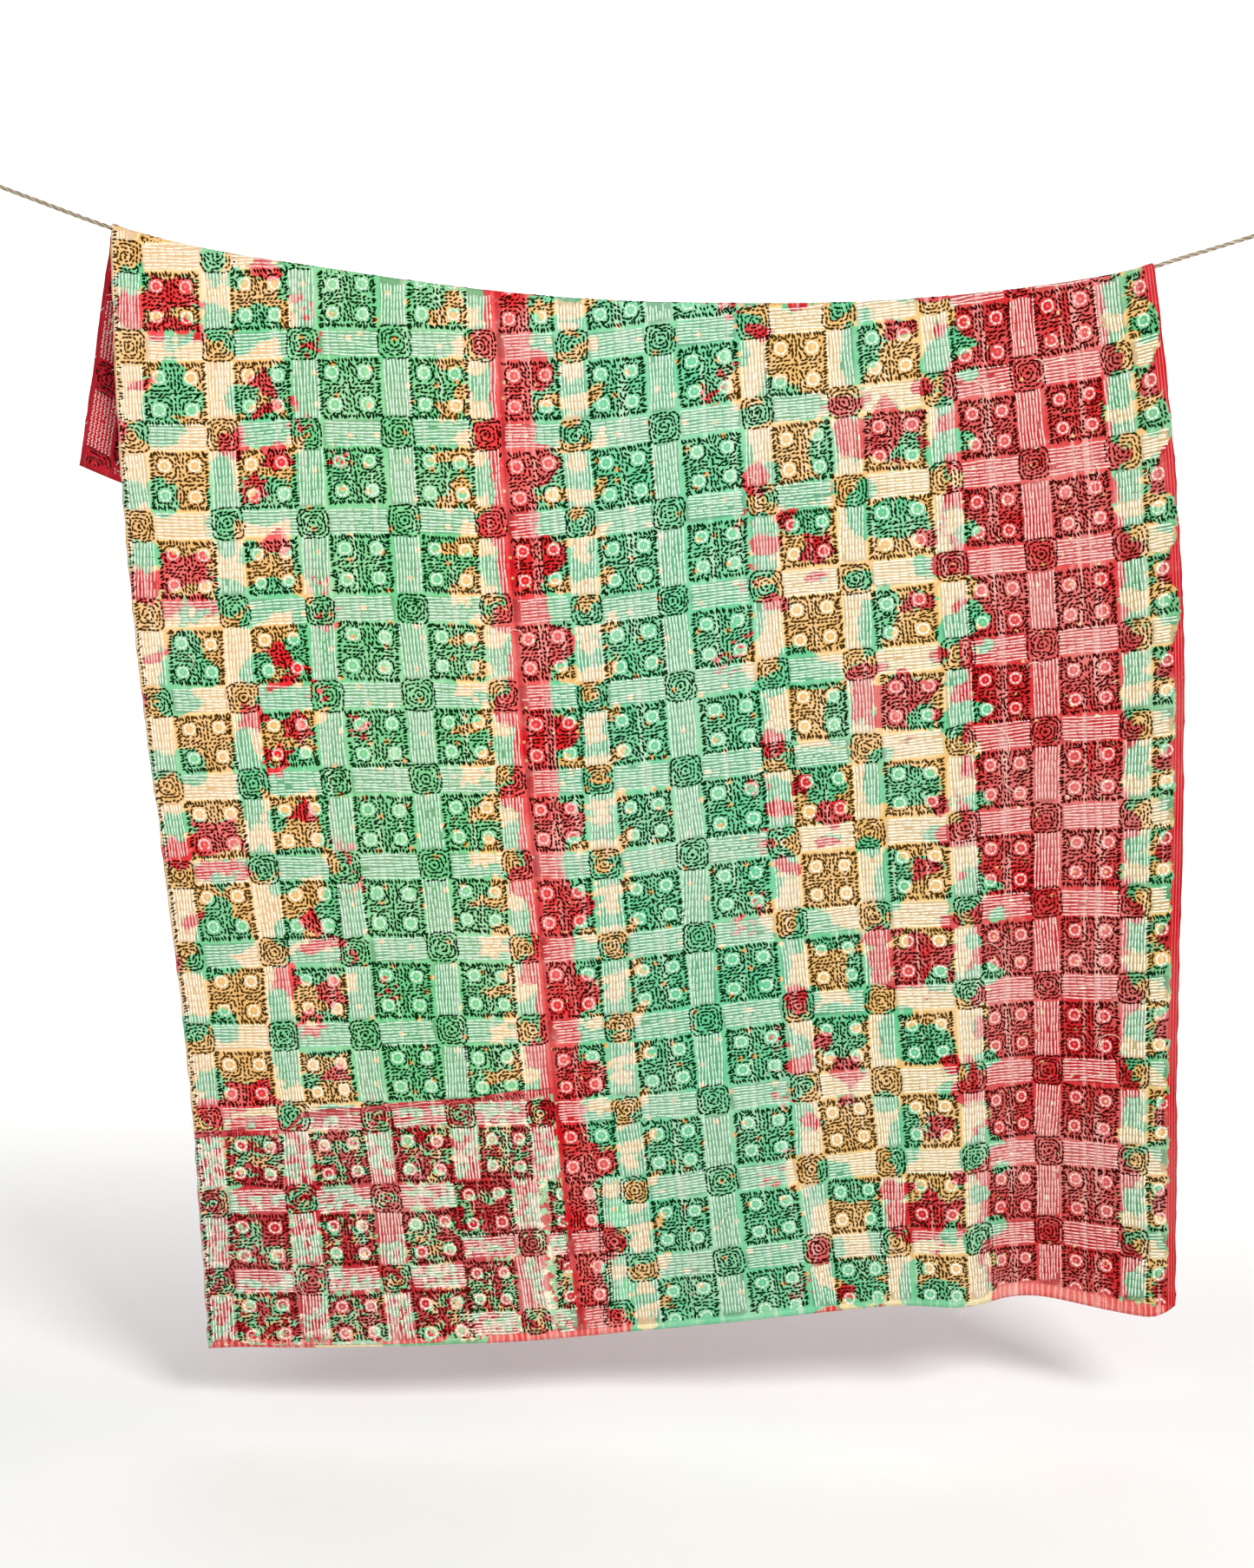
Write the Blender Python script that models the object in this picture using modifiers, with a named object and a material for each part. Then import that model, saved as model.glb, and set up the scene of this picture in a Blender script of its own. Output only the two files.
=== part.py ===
"""Kantha quilt hung over a rope.

The quilt hangs askew over a thin rope that sags between two wall eyes. Its printed face is turned
to the front, and a short flap of it falls behind the rope and shows the plain backing. Metres, +Z
up, the face looks along -Y. The origin is the centre of the left wall plate's flat back.

Places on the cloth are counted in cells, the pitch of the quilting pattern: cells across from the
left edge, and cells up from the front hem, over the rope and down to the hem of the flap.
"""

import math

import bmesh
import bpy
import numpy as np
from mathutils import Matrix, Vector

# Cloth
CELL = 0.131
SEAM_CELLS = 4.30
WIDTH_CELLS = 11.65
CLOTH_THICKNESS = 0.0012
PATCH_THICKNESS = 0.0008
GAP = 0.0003

# Rope and the fold over it
ROPE_RADIUS = 0.003
ROPE_CLEARANCE = 0.0005
FOLD_RADIUS = ROPE_RADIUS + ROPE_CLEARANCE + CLOTH_THICKNESS + GAP / 2
ROPE_POINTS = 76

# Wall plates, eyes and hitches
RIGHT_PLATE = Vector((1.9825, 0.0, -0.0740))
PLATE_RADIUS = 0.019
PLATE_THICKNESS = 0.004
PLATE_BEVEL = 0.001
NECK_RADIUS = 0.004
NECK_LENGTH = 0.009
EYE_REACH = 0.018
EYE_RADIUS = 0.010
EYE_WIRE_RADIUS = 0.0025
SCREW_OFFSET = 0.0125
SCREW_RADIUS = 0.0032
SCREW_HEIGHT = 0.0014
LEFT_SLOPE = 0.372
RIGHT_SLOPE = 0.306
LOOP_RADIUS = 0.0060
LOOP_NECK = 0.0040
KNOT_START = 0.0235
KNOT_END = 0.0490
KNOT_TURNS = 4
TURN_RADIUS = 0.0046
CORE_RADIUS = 0.0053
TAIL_LENGTH = 0.020
WELD_DISTANCE = 0.000001

# Rope centre line by x and z, from hitch to hitch
ROPE_ROUTE = (
    (0.0642, -0.0172),
    (0.0790, -0.0227),
    (0.1500, -0.0491),
    (0.2100, -0.0712),
    (0.2450, -0.0832),
    (0.3300, -0.1072),
    (0.4300, -0.1262),
    (0.5500, -0.1442),
    (0.6900, -0.1642),
    (0.8400, -0.1812),
    (0.9900, -0.1912),
    (1.1400, -0.1942),
    (1.2900, -0.1937),
    (1.4300, -0.1862),
    (1.5500, -0.1752),
    (1.6500, -0.1617),
    (1.7400, -0.1432),
    (1.7750, -0.1317),
    (1.8400, -0.1122),
    (1.9035, -0.0927),
    (1.9174, -0.0884),
)

# How the cloth hangs at six lines down its grain
HANG_COLUMNS = (
    "cells", "rope_x", "hem_x", "hem_z", "bow", "sway", "drop_cells", "flap_cells", "flap_lean",
)
HANG = (
    (0.00, 0.238, 0.329, -1.799, -0.006, 0.012, 13.13, 2.66, -0.19),
    (2.33, 0.538, 0.668, -1.782, -0.020, 0.003, 12.65, 2.95, -0.13),
    (4.66, 0.845, 0.965, -1.774, -0.012, 0.000, 12.36, 3.30, -0.08),
    (6.99, 1.150, 1.277, -1.728, -0.010, 0.000, 12.00, 3.65, -0.04),
    (9.32, 1.455, 1.560, -1.722, 0.009, -0.003, 11.78, 3.85, -0.01),
    (11.65, 1.759, 1.845, -1.738, 0.028, -0.010, 11.66, 3.95, 0.00),
)

# Soft folds by the cells at the rope, the cells at the hem, the half width in cells and the depth at
# the hem in metres, + backwards
FRONT_FOLDS = (
    (0.0, 0.1, 0.8, 0.016),
    (2.2, 2.0, 1.2, -0.014),
    (4.9, 4.7, 0.9, 0.015),
    (7.2, 7.0, 1.1, -0.018),
    (9.2, 8.95, 0.5, -0.022),
    (10.1, 9.9, 0.8, 0.050),
    (11.6, 11.4, 0.6, -0.016),
)
FLAP_FOLDS = (
    (0.4, 0.0, 0.7, 0.010),
    (2.6, 2.3, 0.9, -0.007),
    (5.5, 5.6, 1.2, 0.009),
    (8.6, 8.3, 1.2, -0.006),
    (11.4, 11.2, 0.8, 0.008),
)
FLAP_STANDOFF = 0.016
FOLD_FADE = 1.7

# Lattice that all the cloths share
LEFT_STEPS = 10
RIGHT_STEPS = 17
DROP_ROWS = 24
ARC_ROWS = 8
FLAP_ROWS = 7
LAST_ROW = DROP_ROWS + ARC_ROWS + FLAP_ROWS
PATCH_ROWS = 5
PATCH_RISE = 0.45
PATCH_FADE_ROWS = 3
PATCH_INSET_ROWS = 0.18
PATCH_INSET_STEPS = 0.03


def clear_scene():
    for item in list(bpy.data.objects):
        bpy.data.objects.remove(item, do_unlink=True)


def spline(knots, values):
    """Natural cubic spline through the values at the knots, as a function of one number."""
    knots = np.array(knots, dtype=float)
    values = np.array(values, dtype=float)
    count = len(knots)
    steps = np.diff(knots)
    system = np.zeros((count, count))
    right = np.zeros(count)
    system[0, 0] = 1.0
    system[-1, -1] = 1.0
    for i in range(1, count - 1):
        system[i, i - 1] = steps[i - 1]
        system[i, i] = 2.0 * (steps[i - 1] + steps[i])
        system[i, i + 1] = steps[i]
        rise_after = (values[i + 1] - values[i]) / steps[i]
        rise_before = (values[i] - values[i - 1]) / steps[i - 1]
        right[i] = 6.0 * (rise_after - rise_before)
    bend = np.linalg.solve(system, right)

    def value(x):
        i = int(np.clip(np.searchsorted(knots, x) - 1, 0, count - 2))
        before = x - knots[i]
        after = knots[i + 1] - x
        step = steps[i]
        cubic = (bend[i] * after ** 3 + bend[i + 1] * before ** 3) / (6.0 * step)
        start = (values[i] / step - bend[i] * step / 6.0) * after
        end = (values[i + 1] / step - bend[i + 1] * step / 6.0) * before
        return float(cubic + start + end)

    return value


def hang_lines():
    """One smooth function of the cells across for each column of the hanging table."""
    cells = [row[0] for row in HANG]
    lines = {}
    for number, name in enumerate(HANG_COLUMNS[1:], start=1):
        lines[name] = spline(cells, [row[number] for row in HANG])
    return lines


ROPE_HEIGHT = spline([point[0] for point in ROPE_ROUTE], [point[1] for point in ROPE_ROUTE])
LINES = hang_lines()


def fold_depth(folds, cells, reach):
    """Depth of the soft folds, growing from nothing at the rope (reach 0) to the hem (reach 1)."""
    depth = 0.0
    for top_cells, hem_cells, half_width, hem_depth in folds:
        centre = top_cells + (hem_cells - top_cells) * reach
        depth += hem_depth * math.exp(-((cells - centre) / half_width) ** 2)
    return depth * reach ** FOLD_FADE


def patch_shift(cells, row):
    """How far a lattice row is lifted so that one row follows the patch's slanting top edge."""
    if cells <= SEAM_CELLS:
        across = cells / SEAM_CELLS
    else:
        across = max(0.0, 1.0 - (cells - SEAM_CELLS) / 2.0)
    if row <= PATCH_ROWS:
        weight = row / PATCH_ROWS
    else:
        weight = max(0.0, 1.0 - (row - PATCH_ROWS) / PATCH_FADE_ROWS)
    return PATCH_RISE * across * weight


def front_point(cells, row):
    drop = LINES["drop_cells"](cells)
    height = row / DROP_ROWS + patch_shift(cells, row) / drop
    rope_x = LINES["rope_x"](cells)
    hem_x = LINES["hem_x"](cells)
    hem_z = LINES["hem_z"](cells)
    bow = LINES["bow"](cells) * 4.0 * height * (1.0 - height)
    sway = LINES["sway"](cells) * math.sin(2.0 * math.pi * height)
    x = hem_x + (rope_x - hem_x) * height + bow + sway
    y = fold_depth(FRONT_FOLDS, cells, 1.0 - height) - FOLD_RADIUS
    z = hem_z + (ROPE_HEIGHT(rope_x) - hem_z) * height
    return Vector((x, y, z))


def arc_point(cells, angle):
    """Point on the half circle over the rope, in the plane square to the rope."""
    x = LINES["rope_x"](cells)
    step = 0.001
    slope = (ROPE_HEIGHT(x + step) - ROPE_HEIGHT(x - step)) / (2.0 * step)
    upward = Vector((-slope, 0.0, 1.0)).normalized()
    centre = Vector((x, 0.0, ROPE_HEIGHT(x)))
    backward = Vector((0.0, 1.0, 0.0))
    return centre + FOLD_RADIUS * (upward * math.sin(angle) - backward * math.cos(angle))


def flap_point(cells, reach):
    lean = LINES["flap_lean"](cells)
    fall = LINES["flap_cells"](cells) * CELL * reach
    x = LINES["rope_x"](cells) + lean * fall
    standoff = FLAP_STANDOFF * reach * (2.0 - reach)
    y = FOLD_RADIUS + standoff + fold_depth(FLAP_FOLDS, cells, reach)
    z = ROPE_HEIGHT(LINES["rope_x"](cells)) - fall * math.sqrt(1.0 - lean * lean)
    return Vector((x, y, z))


def cloth_point(cells, row):
    """Middle of the quilt at a lattice row, counted from the front hem over the rope."""
    if row <= DROP_ROWS:
        return front_point(cells, row)
    if row < DROP_ROWS + ARC_ROWS:
        return arc_point(cells, math.pi * (row - DROP_ROWS) / ARC_ROWS)
    return flap_point(cells, (row - DROP_ROWS - ARC_ROWS) / FLAP_ROWS)


def cloth_normal(cells, row):
    """Unit normal on the printed side, from steps along and across the cloth."""
    step = 0.05
    low = max(0.0, row - step)
    high = min(LAST_ROW, row + step)
    across = cloth_point(cells + step, row) - cloth_point(cells - step, row)
    along = cloth_point(cells, high) - cloth_point(cells, low)
    return across.cross(along).normalized()


def lattice_cells():
    left = [SEAM_CELLS * step / LEFT_STEPS for step in range(LEFT_STEPS + 1)]
    right_width = WIDTH_CELLS - SEAM_CELLS
    right = [SEAM_CELLS + right_width * step / RIGHT_STEPS for step in range(1, RIGHT_STEPS + 1)]
    return left + right


def build_lattice():
    points = []
    normals = []
    for cells in lattice_cells():
        points.append([cloth_point(cells, row) for row in range(LAST_ROW + 1)])
        normals.append([cloth_normal(cells, row) for row in range(LAST_ROW + 1)])
    return points, normals


def between(grid, column, row):
    """Value at a place between lattice points, so that an inset edge stays on the facets."""
    c = min(int(column), len(grid) - 2)
    r = min(int(row), len(grid[0]) - 2)
    lower = grid[c][r].lerp(grid[c][r + 1], row - r)
    upper = grid[c + 1][r].lerp(grid[c + 1][r + 1], row - r)
    return lower.lerp(upper, column - c)


def fabric(name, colour, roughness):
    material = bpy.data.materials.new(name)
    material.use_nodes = True
    shader = material.node_tree.nodes["Principled BSDF"]
    shader.inputs["Base Color"].default_value = (*colour, 1.0)
    shader.inputs["Roughness"].default_value = roughness
    return material


def metal(name, colour, roughness):
    material = fabric(name, colour, roughness)
    material.node_tree.nodes["Principled BSDF"].inputs["Metallic"].default_value = 1.0
    return material


def sheet(name, lattice, columns, rows, lift, thickness, side, material, collection):
    """Cloth over part of the lattice, lifted from it, and thickened away from it on one side."""
    points, normals = lattice
    bm = bmesh.new()
    x_count = len(columns)
    y_count = len(rows)
    bmesh.ops.create_grid(bm, x_segments=x_count - 1, y_segments=y_count - 1, size=1.0)
    for vert in bm.verts:
        column = columns[round((vert.co.x + 1.0) / 2.0 * (x_count - 1))]
        row = rows[round((vert.co.y + 1.0) / 2.0 * (y_count - 1))]
        place = between(points, column, row)
        vert.co = place + between(normals, column, row).normalized() * lift
    bmesh.ops.triangulate(bm, faces=bm.faces[:], quad_method="FIXED")
    mesh = bpy.data.meshes.new(name)
    bm.to_mesh(mesh)
    bm.free()
    mesh.materials.append(material)
    mesh.shade_smooth()
    cloth = bpy.data.objects.new(name, mesh)
    collection.objects.link(cloth)
    wall = cloth.modifiers.new("cloth thickness", "SOLIDIFY")
    wall.thickness = thickness
    wall.offset = side
    return cloth


def build_cloths(collection):
    lattice = build_lattice()
    all_rows = list(range(LAST_ROW + 1))
    seam = LEFT_STEPS
    last = LEFT_STEPS + RIGHT_STEPS
    seam_gap = GAP / 2 / CELL
    left_gap = seam_gap * LEFT_STEPS / SEAM_CELLS
    right_gap = seam_gap * RIGHT_STEPS / (WIDTH_CELLS - SEAM_CELLS)
    left = list(range(seam)) + [seam - left_gap]
    right = [seam + right_gap] + list(range(seam + 1, last + 1))
    green = fabric("green print", (0.16, 0.50, 0.28), 0.9)
    red_green = fabric("red and green print", (0.50, 0.30, 0.20), 0.9)
    crimson = fabric("crimson backing", (0.45, 0.02, 0.04), 0.9)
    mottled = fabric("mottled patch", (0.55, 0.28, 0.26), 0.9)
    lift = GAP / 2
    sheet("face_cloth_left", lattice, left, all_rows, lift, CLOTH_THICKNESS, 1.0, green, collection)
    sheet(
        "face_cloth_right", lattice, right, all_rows, lift, CLOTH_THICKNESS, 1.0, red_green, collection
    )
    whole = list(range(last + 1))
    sheet("backing_cloth", lattice, whole, all_rows, -lift, CLOTH_THICKNESS, -1.0, crimson, collection)
    patch_columns = [PATCH_INSET_STEPS] + list(range(1, seam)) + [seam - PATCH_INSET_STEPS]
    patch_rows = [PATCH_INSET_ROWS] + list(range(1, PATCH_ROWS + 1))
    patch_lift = lift + CLOTH_THICKNESS + GAP
    sheet(
        "mending_patch", lattice, patch_columns, patch_rows, patch_lift, PATCH_THICKNESS, 1.0,
        mottled, collection,
    )


def tube(name, points, radius, material, collection):
    """Round tube along the points, closed at both ends."""
    curve = bpy.data.curves.new(name, "CURVE")
    curve.dimensions = "3D"
    curve.bevel_depth = radius
    curve.bevel_resolution = 2
    curve.use_fill_caps = True
    line = curve.splines.new("POLY")
    line.points.add(len(points) - 1)
    for target, point in zip(line.points, points):
        target.co = (*point, 1.0)
    curve.materials.append(material)
    item = bpy.data.objects.new(name, curve)
    collection.objects.link(item)
    return item


def build_rope(collection, material):
    start = ROPE_ROUTE[0][0] + GAP
    end = ROPE_ROUTE[-1][0] - GAP
    stations = [start + (end - start) * i / (ROPE_POINTS - 1) for i in range(ROPE_POINTS)]
    points = [Vector((x, 0.0, ROPE_HEIGHT(x))) for x in stations]
    tube("hanging_rope", points, ROPE_RADIUS, material, collection)


def add_cylinder(bm, radius, start, end, sides, top_radius=None):
    """Closed cylinder or cone along local X."""
    along = Matrix.Rotation(math.pi / 2, 4, "Y")
    place = Matrix.Translation(((start + end) / 2, 0.0, 0.0))
    if top_radius is None:
        top_radius = radius
    made = bmesh.ops.create_cone(
        bm, cap_ends=True, segments=sides, radius1=radius, radius2=top_radius,
        depth=end - start, matrix=place @ along,
    )
    return made["verts"]


def mesh_object(name, bm, collection):
    mesh = bpy.data.meshes.new(name)
    bmesh.ops.recalc_face_normals(bm, faces=bm.faces[:])
    bm.to_mesh(mesh)
    bm.free()
    item = bpy.data.objects.new(name, mesh)
    collection.objects.link(item)
    return item


def ring_mesh(major, minor, ring_sides, wire_sides, turn):
    """Torus about local Z, turned by the given matrix."""
    bm = bmesh.new()
    circle = bmesh.ops.create_circle(bm, segments=wire_sides, radius=minor)
    stand = Matrix.Translation((major, 0.0, 0.0)) @ Matrix.Rotation(math.pi / 2, 4, "X")
    bmesh.ops.transform(bm, matrix=stand, verts=circle["verts"])
    bmesh.ops.spin(
        bm, geom=bm.verts[:] + bm.edges[:], cent=(0.0, 0.0, 0.0), axis=(0.0, 0.0, 1.0),
        angle=2.0 * math.pi, steps=ring_sides, use_merge=True,
    )
    bmesh.ops.transform(bm, matrix=turn, verts=bm.verts[:])
    return bm


def frozen_mesh(item):
    """Replace a curve or a modified object by the plain mesh that it evaluates to."""
    collection = item.users_collection[0]
    name = item.name
    bpy.context.view_layer.update()
    evaluated = item.evaluated_get(bpy.context.evaluated_depsgraph_get())
    mesh = bpy.data.meshes.new_from_object(evaluated)
    bm = bmesh.new()
    bm.from_mesh(mesh)
    bmesh.ops.remove_doubles(bm, verts=bm.verts[:], dist=WELD_DISTANCE)
    bm.to_mesh(mesh)
    bm.free()
    result = bpy.data.objects.new(name + "_mesh", mesh)
    result.matrix_world = item.matrix_world
    collection.objects.link(result)
    bpy.data.objects.remove(item, do_unlink=True)
    result.name = name
    return result


def fuse(base, pieces):
    """Union of the base and the pieces, as one closed mesh on the base object."""
    for piece in pieces:
        union = base.modifiers.new("union", "BOOLEAN")
        union.operation = "UNION"
        union.object = piece
    result = frozen_mesh(base)
    for piece in pieces:
        bpy.data.objects.remove(piece, do_unlink=True)
    return result


def build_wall_eye(name, place, collection, material):
    """Round plate with its flat back on the wall, a neck, a ring and two screw heads."""
    bm = bmesh.new()
    add_cylinder(bm, PLATE_RADIUS, 0.0, PLATE_THICKNESS, 32)
    outer_rim = [
        edge for edge in bm.edges
        if all(abs(vert.co.x - PLATE_THICKNESS) < PLATE_BEVEL / 2 for vert in edge.verts)
    ]
    bmesh.ops.bevel(
        bm, geom=outer_rim, offset=PLATE_BEVEL, offset_type="OFFSET", segments=2, profile=0.5,
        affect="EDGES", material=-1,
    )
    plate = mesh_object(name, bm, collection)
    bm = bmesh.new()
    add_cylinder(bm, NECK_RADIUS, PLATE_THICKNESS / 2, NECK_LENGTH, 16)
    neck = mesh_object(name + "_neck", bm, collection)
    upright = Matrix.Translation((EYE_REACH, 0.0, 0.0)) @ Matrix.Rotation(math.pi / 2, 4, "X")
    ring = mesh_object(
        name + "_ring", ring_mesh(EYE_RADIUS, EYE_WIRE_RADIUS, 24, 10, upright), collection
    )
    screws = []
    for side in (-1.0, 1.0):
        bm = bmesh.new()
        top = PLATE_THICKNESS + SCREW_HEIGHT
        verts = add_cylinder(bm, SCREW_RADIUS, PLATE_THICKNESS / 2, top, 12, SCREW_RADIUS * 0.6)
        bmesh.ops.translate(bm, verts=verts, vec=(0.0, 0.0, side * SCREW_OFFSET))
        screws.append(mesh_object(name + "_screw", bm, collection))
    eye = fuse(plate, [neck, ring] + screws)
    eye.data.transform(place)
    eye.data.materials.append(material)
    return eye


def loop_points():
    """Rope loop through the eye, from one side of the knot round the ring's wire to the other."""
    points = [(KNOT_START + 0.003, LOOP_NECK), (0.0180, LOOP_RADIUS * 0.96)]
    turns = 9
    for i in range(turns):
        angle = math.pi / 2 + math.pi * i / (turns - 1)
        x = EYE_RADIUS + LOOP_RADIUS * math.cos(angle)
        points.append((x, LOOP_RADIUS * math.sin(angle)))
    points.append((0.0180, -LOOP_RADIUS * 0.96))
    points.append((KNOT_START + 0.003, -LOOP_NECK))
    return [Vector((x, y, 0.0)) for x, y in points]


def build_hitch(name, place, collection, material):
    """Knot that ends the rope: a loop through the eye, the turns bound round it, and a short tail."""
    bm = bmesh.new()
    add_cylinder(bm, CORE_RADIUS, KNOT_START, KNOT_END, 14)
    core = mesh_object(name, bm, collection)
    pieces = []
    pitch = (KNOT_END - KNOT_START) / KNOT_TURNS
    for turn in range(KNOT_TURNS):
        centre = KNOT_START + pitch * (turn + 0.5)
        face = Matrix.Translation((centre, 0.0, 0.0)) @ Matrix.Rotation(math.pi / 2, 4, "Y")
        bm = ring_mesh(TURN_RADIUS, ROPE_RADIUS, 16, 8, face)
        pieces.append(mesh_object(name + "_turn", bm, collection))
    loop = tube(name + "_loop", loop_points(), ROPE_RADIUS, material, collection)
    pieces.append(frozen_mesh(loop))
    tail_start = Vector((KNOT_END - pitch, 0.002, -0.003))
    tail_end = tail_start + TAIL_LENGTH * Vector((0.35, 0.45, -0.82)).normalized()
    tail = tube(name + "_tail", [tail_start, tail_end], ROPE_RADIUS * 0.9, material, collection)
    pieces.append(frozen_mesh(tail))
    hitch = fuse(core, pieces)
    hitch.data.transform(place)
    hitch.data.materials.clear()
    hitch.data.materials.append(material)
    return hitch


def build_ends(collection, rope_material, metal_material):
    """Wall eyes and hitches at both ends, the right ones turned to face the left."""
    half_turn = Matrix.Rotation(math.pi, 4, "Z")
    left_place = Matrix.Identity(4)
    right_place = Matrix.Translation(RIGHT_PLATE) @ half_turn
    to_ring = Matrix.Translation((EYE_REACH, 0.0, 0.0))
    sides = (("left", left_place, LEFT_SLOPE), ("right", right_place, RIGHT_SLOPE))
    for side, place, slope in sides:
        build_wall_eye("wall_eye_" + side, place, collection, metal_material)
        lean = Matrix.Rotation(math.atan(slope), 4, "Y")
        build_hitch("rope_hitch_" + side, place @ to_ring @ lean, collection, rope_material)


def main():
    clear_scene()
    collection = bpy.data.collections.new("kantha quilt on a rope")
    bpy.context.scene.collection.children.link(collection)
    rope_material = fabric("beige rope", (0.55, 0.47, 0.36), 0.85)
    metal_material = metal("plain steel", (0.62, 0.61, 0.59), 0.35)
    build_cloths(collection)
    build_rope(collection, rope_material)
    build_ends(collection, rope_material, metal_material)


main()
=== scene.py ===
"""Kantha quilt hung over a rope: printed cloths, running stitch, rope and its fastenings.

The cloths follow the same hanging surface as their solids. A place on a cloth is given in cells,
the pitch of the quilting: across from the left edge, and up from the front hem, over the rope and
down the flap behind it. Metres, +Z up, the printed face looks along -Y.
"""

import math

import bmesh
import bpy
import numpy as np
from mathutils import Matrix, Vector


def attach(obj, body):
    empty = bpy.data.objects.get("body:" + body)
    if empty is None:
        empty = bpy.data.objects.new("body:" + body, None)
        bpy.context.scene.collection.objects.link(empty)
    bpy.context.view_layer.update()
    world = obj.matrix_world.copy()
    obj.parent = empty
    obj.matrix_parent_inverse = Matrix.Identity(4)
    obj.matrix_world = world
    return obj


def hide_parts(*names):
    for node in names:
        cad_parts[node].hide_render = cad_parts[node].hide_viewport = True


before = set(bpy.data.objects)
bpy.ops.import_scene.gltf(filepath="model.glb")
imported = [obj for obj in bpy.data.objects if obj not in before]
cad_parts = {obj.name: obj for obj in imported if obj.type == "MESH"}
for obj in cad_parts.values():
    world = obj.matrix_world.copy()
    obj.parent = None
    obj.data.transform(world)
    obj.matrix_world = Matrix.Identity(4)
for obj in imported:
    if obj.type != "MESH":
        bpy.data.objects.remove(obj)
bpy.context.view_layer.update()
rng = np.random.default_rng(12)

# Sizes
CELL = 0.131
SEAM_CELLS = 4.30
WIDTH_CELLS = 11.65
CLOTH_THICKNESS = 0.0012
PATCH_THICKNESS = 0.0008
GAP = 0.0003
ROPE_RADIUS = 0.003
ROPE_CLEARANCE = 0.0005
FOLD_RADIUS = ROPE_RADIUS + ROPE_CLEARANCE + CLOTH_THICKNESS + GAP / 2
ARC_CELLS = math.pi * FOLD_RADIUS / CELL
ROPE_LAY = 0.040
FLOOR_HEIGHT = -1.905
WALL_CURVE = 2.0

# Ends of the rope
LEFT_SLOPE = 0.372
RIGHT_SLOPE = 0.306
RIGHT_PLATE = Vector((1.9825, 0.0, -0.0740))
EYE_REACH = 0.018
EYE_RADIUS = 0.010
LOOP_RADIUS = 0.0060
LOOP_NECK = 0.0040
KNOT_START = 0.0235
KNOT_END = 0.0490
KNOT_TURNS = 4
TURN_RADIUS = 0.0046

# Rope centre line by x and z
ROPE_ROUTE = (
    (0.0642, -0.0172), (0.0790, -0.0227), (0.1500, -0.0491), (0.2100, -0.0712),
    (0.2450, -0.0832), (0.3300, -0.1072), (0.4300, -0.1262), (0.5500, -0.1442),
    (0.6900, -0.1642), (0.8400, -0.1812), (0.9900, -0.1912), (1.1400, -0.1942),
    (1.2900, -0.1937), (1.4300, -0.1862), (1.5500, -0.1752), (1.6500, -0.1617),
    (1.7400, -0.1432), (1.7750, -0.1317), (1.8400, -0.1122), (1.9035, -0.0927),
    (1.9174, -0.0884),
)

# How the cloth hangs at six places across, and its folds by top, hem, half width and depth
HANG_COLUMNS = (
    "cells", "rope_x", "hem_x", "hem_z", "bow", "sway", "drop_cells", "flap_cells", "flap_lean",
)
HANG = (
    (0.00, 0.238, 0.329, -1.799, -0.006, 0.012, 13.13, 2.66, -0.19),
    (2.33, 0.538, 0.668, -1.782, -0.020, 0.003, 12.65, 2.95, -0.13),
    (4.66, 0.845, 0.965, -1.774, -0.012, 0.000, 12.36, 3.30, -0.08),
    (6.99, 1.150, 1.277, -1.728, -0.010, 0.000, 12.00, 3.65, -0.04),
    (9.32, 1.455, 1.560, -1.722, 0.009, -0.003, 11.78, 3.85, -0.01),
    (11.65, 1.759, 1.845, -1.738, 0.028, -0.010, 11.66, 3.95, 0.00),
)
FRONT_FOLDS = (
    (0.0, 0.1, 0.8, 0.016), (2.2, 2.0, 1.2, -0.014), (4.9, 4.7, 0.9, 0.015),
    (7.2, 7.0, 1.1, -0.018), (9.2, 8.95, 0.5, -0.022), (10.1, 9.9, 0.8, 0.050),
    (11.6, 11.4, 0.6, -0.016),
)
FLAP_FOLDS = (
    (0.4, 0.0, 0.7, 0.010), (2.6, 2.3, 0.9, -0.007), (5.5, 5.6, 1.2, 0.009),
    (8.6, 8.3, 1.2, -0.006), (11.4, 11.2, 0.8, 0.008),
)
FLAP_STANDOFF = 0.016
FOLD_FADE = 1.7
PATCH_TOP = ((0.0, 1.08, 1.28, 4.3), (2.70, 2.73, 2.92, 3.14))
PATCH_HEM = ((0.0, 3.0, 3.2, 4.3), (0.03, 0.03, 0.11, 0.11))
PATCH_LEFT = 0.004
PATCH_RIGHT = SEAM_CELLS - 0.03
PATCH_LIFT = GAP / 2 + CLOTH_THICKNESS + GAP

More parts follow.
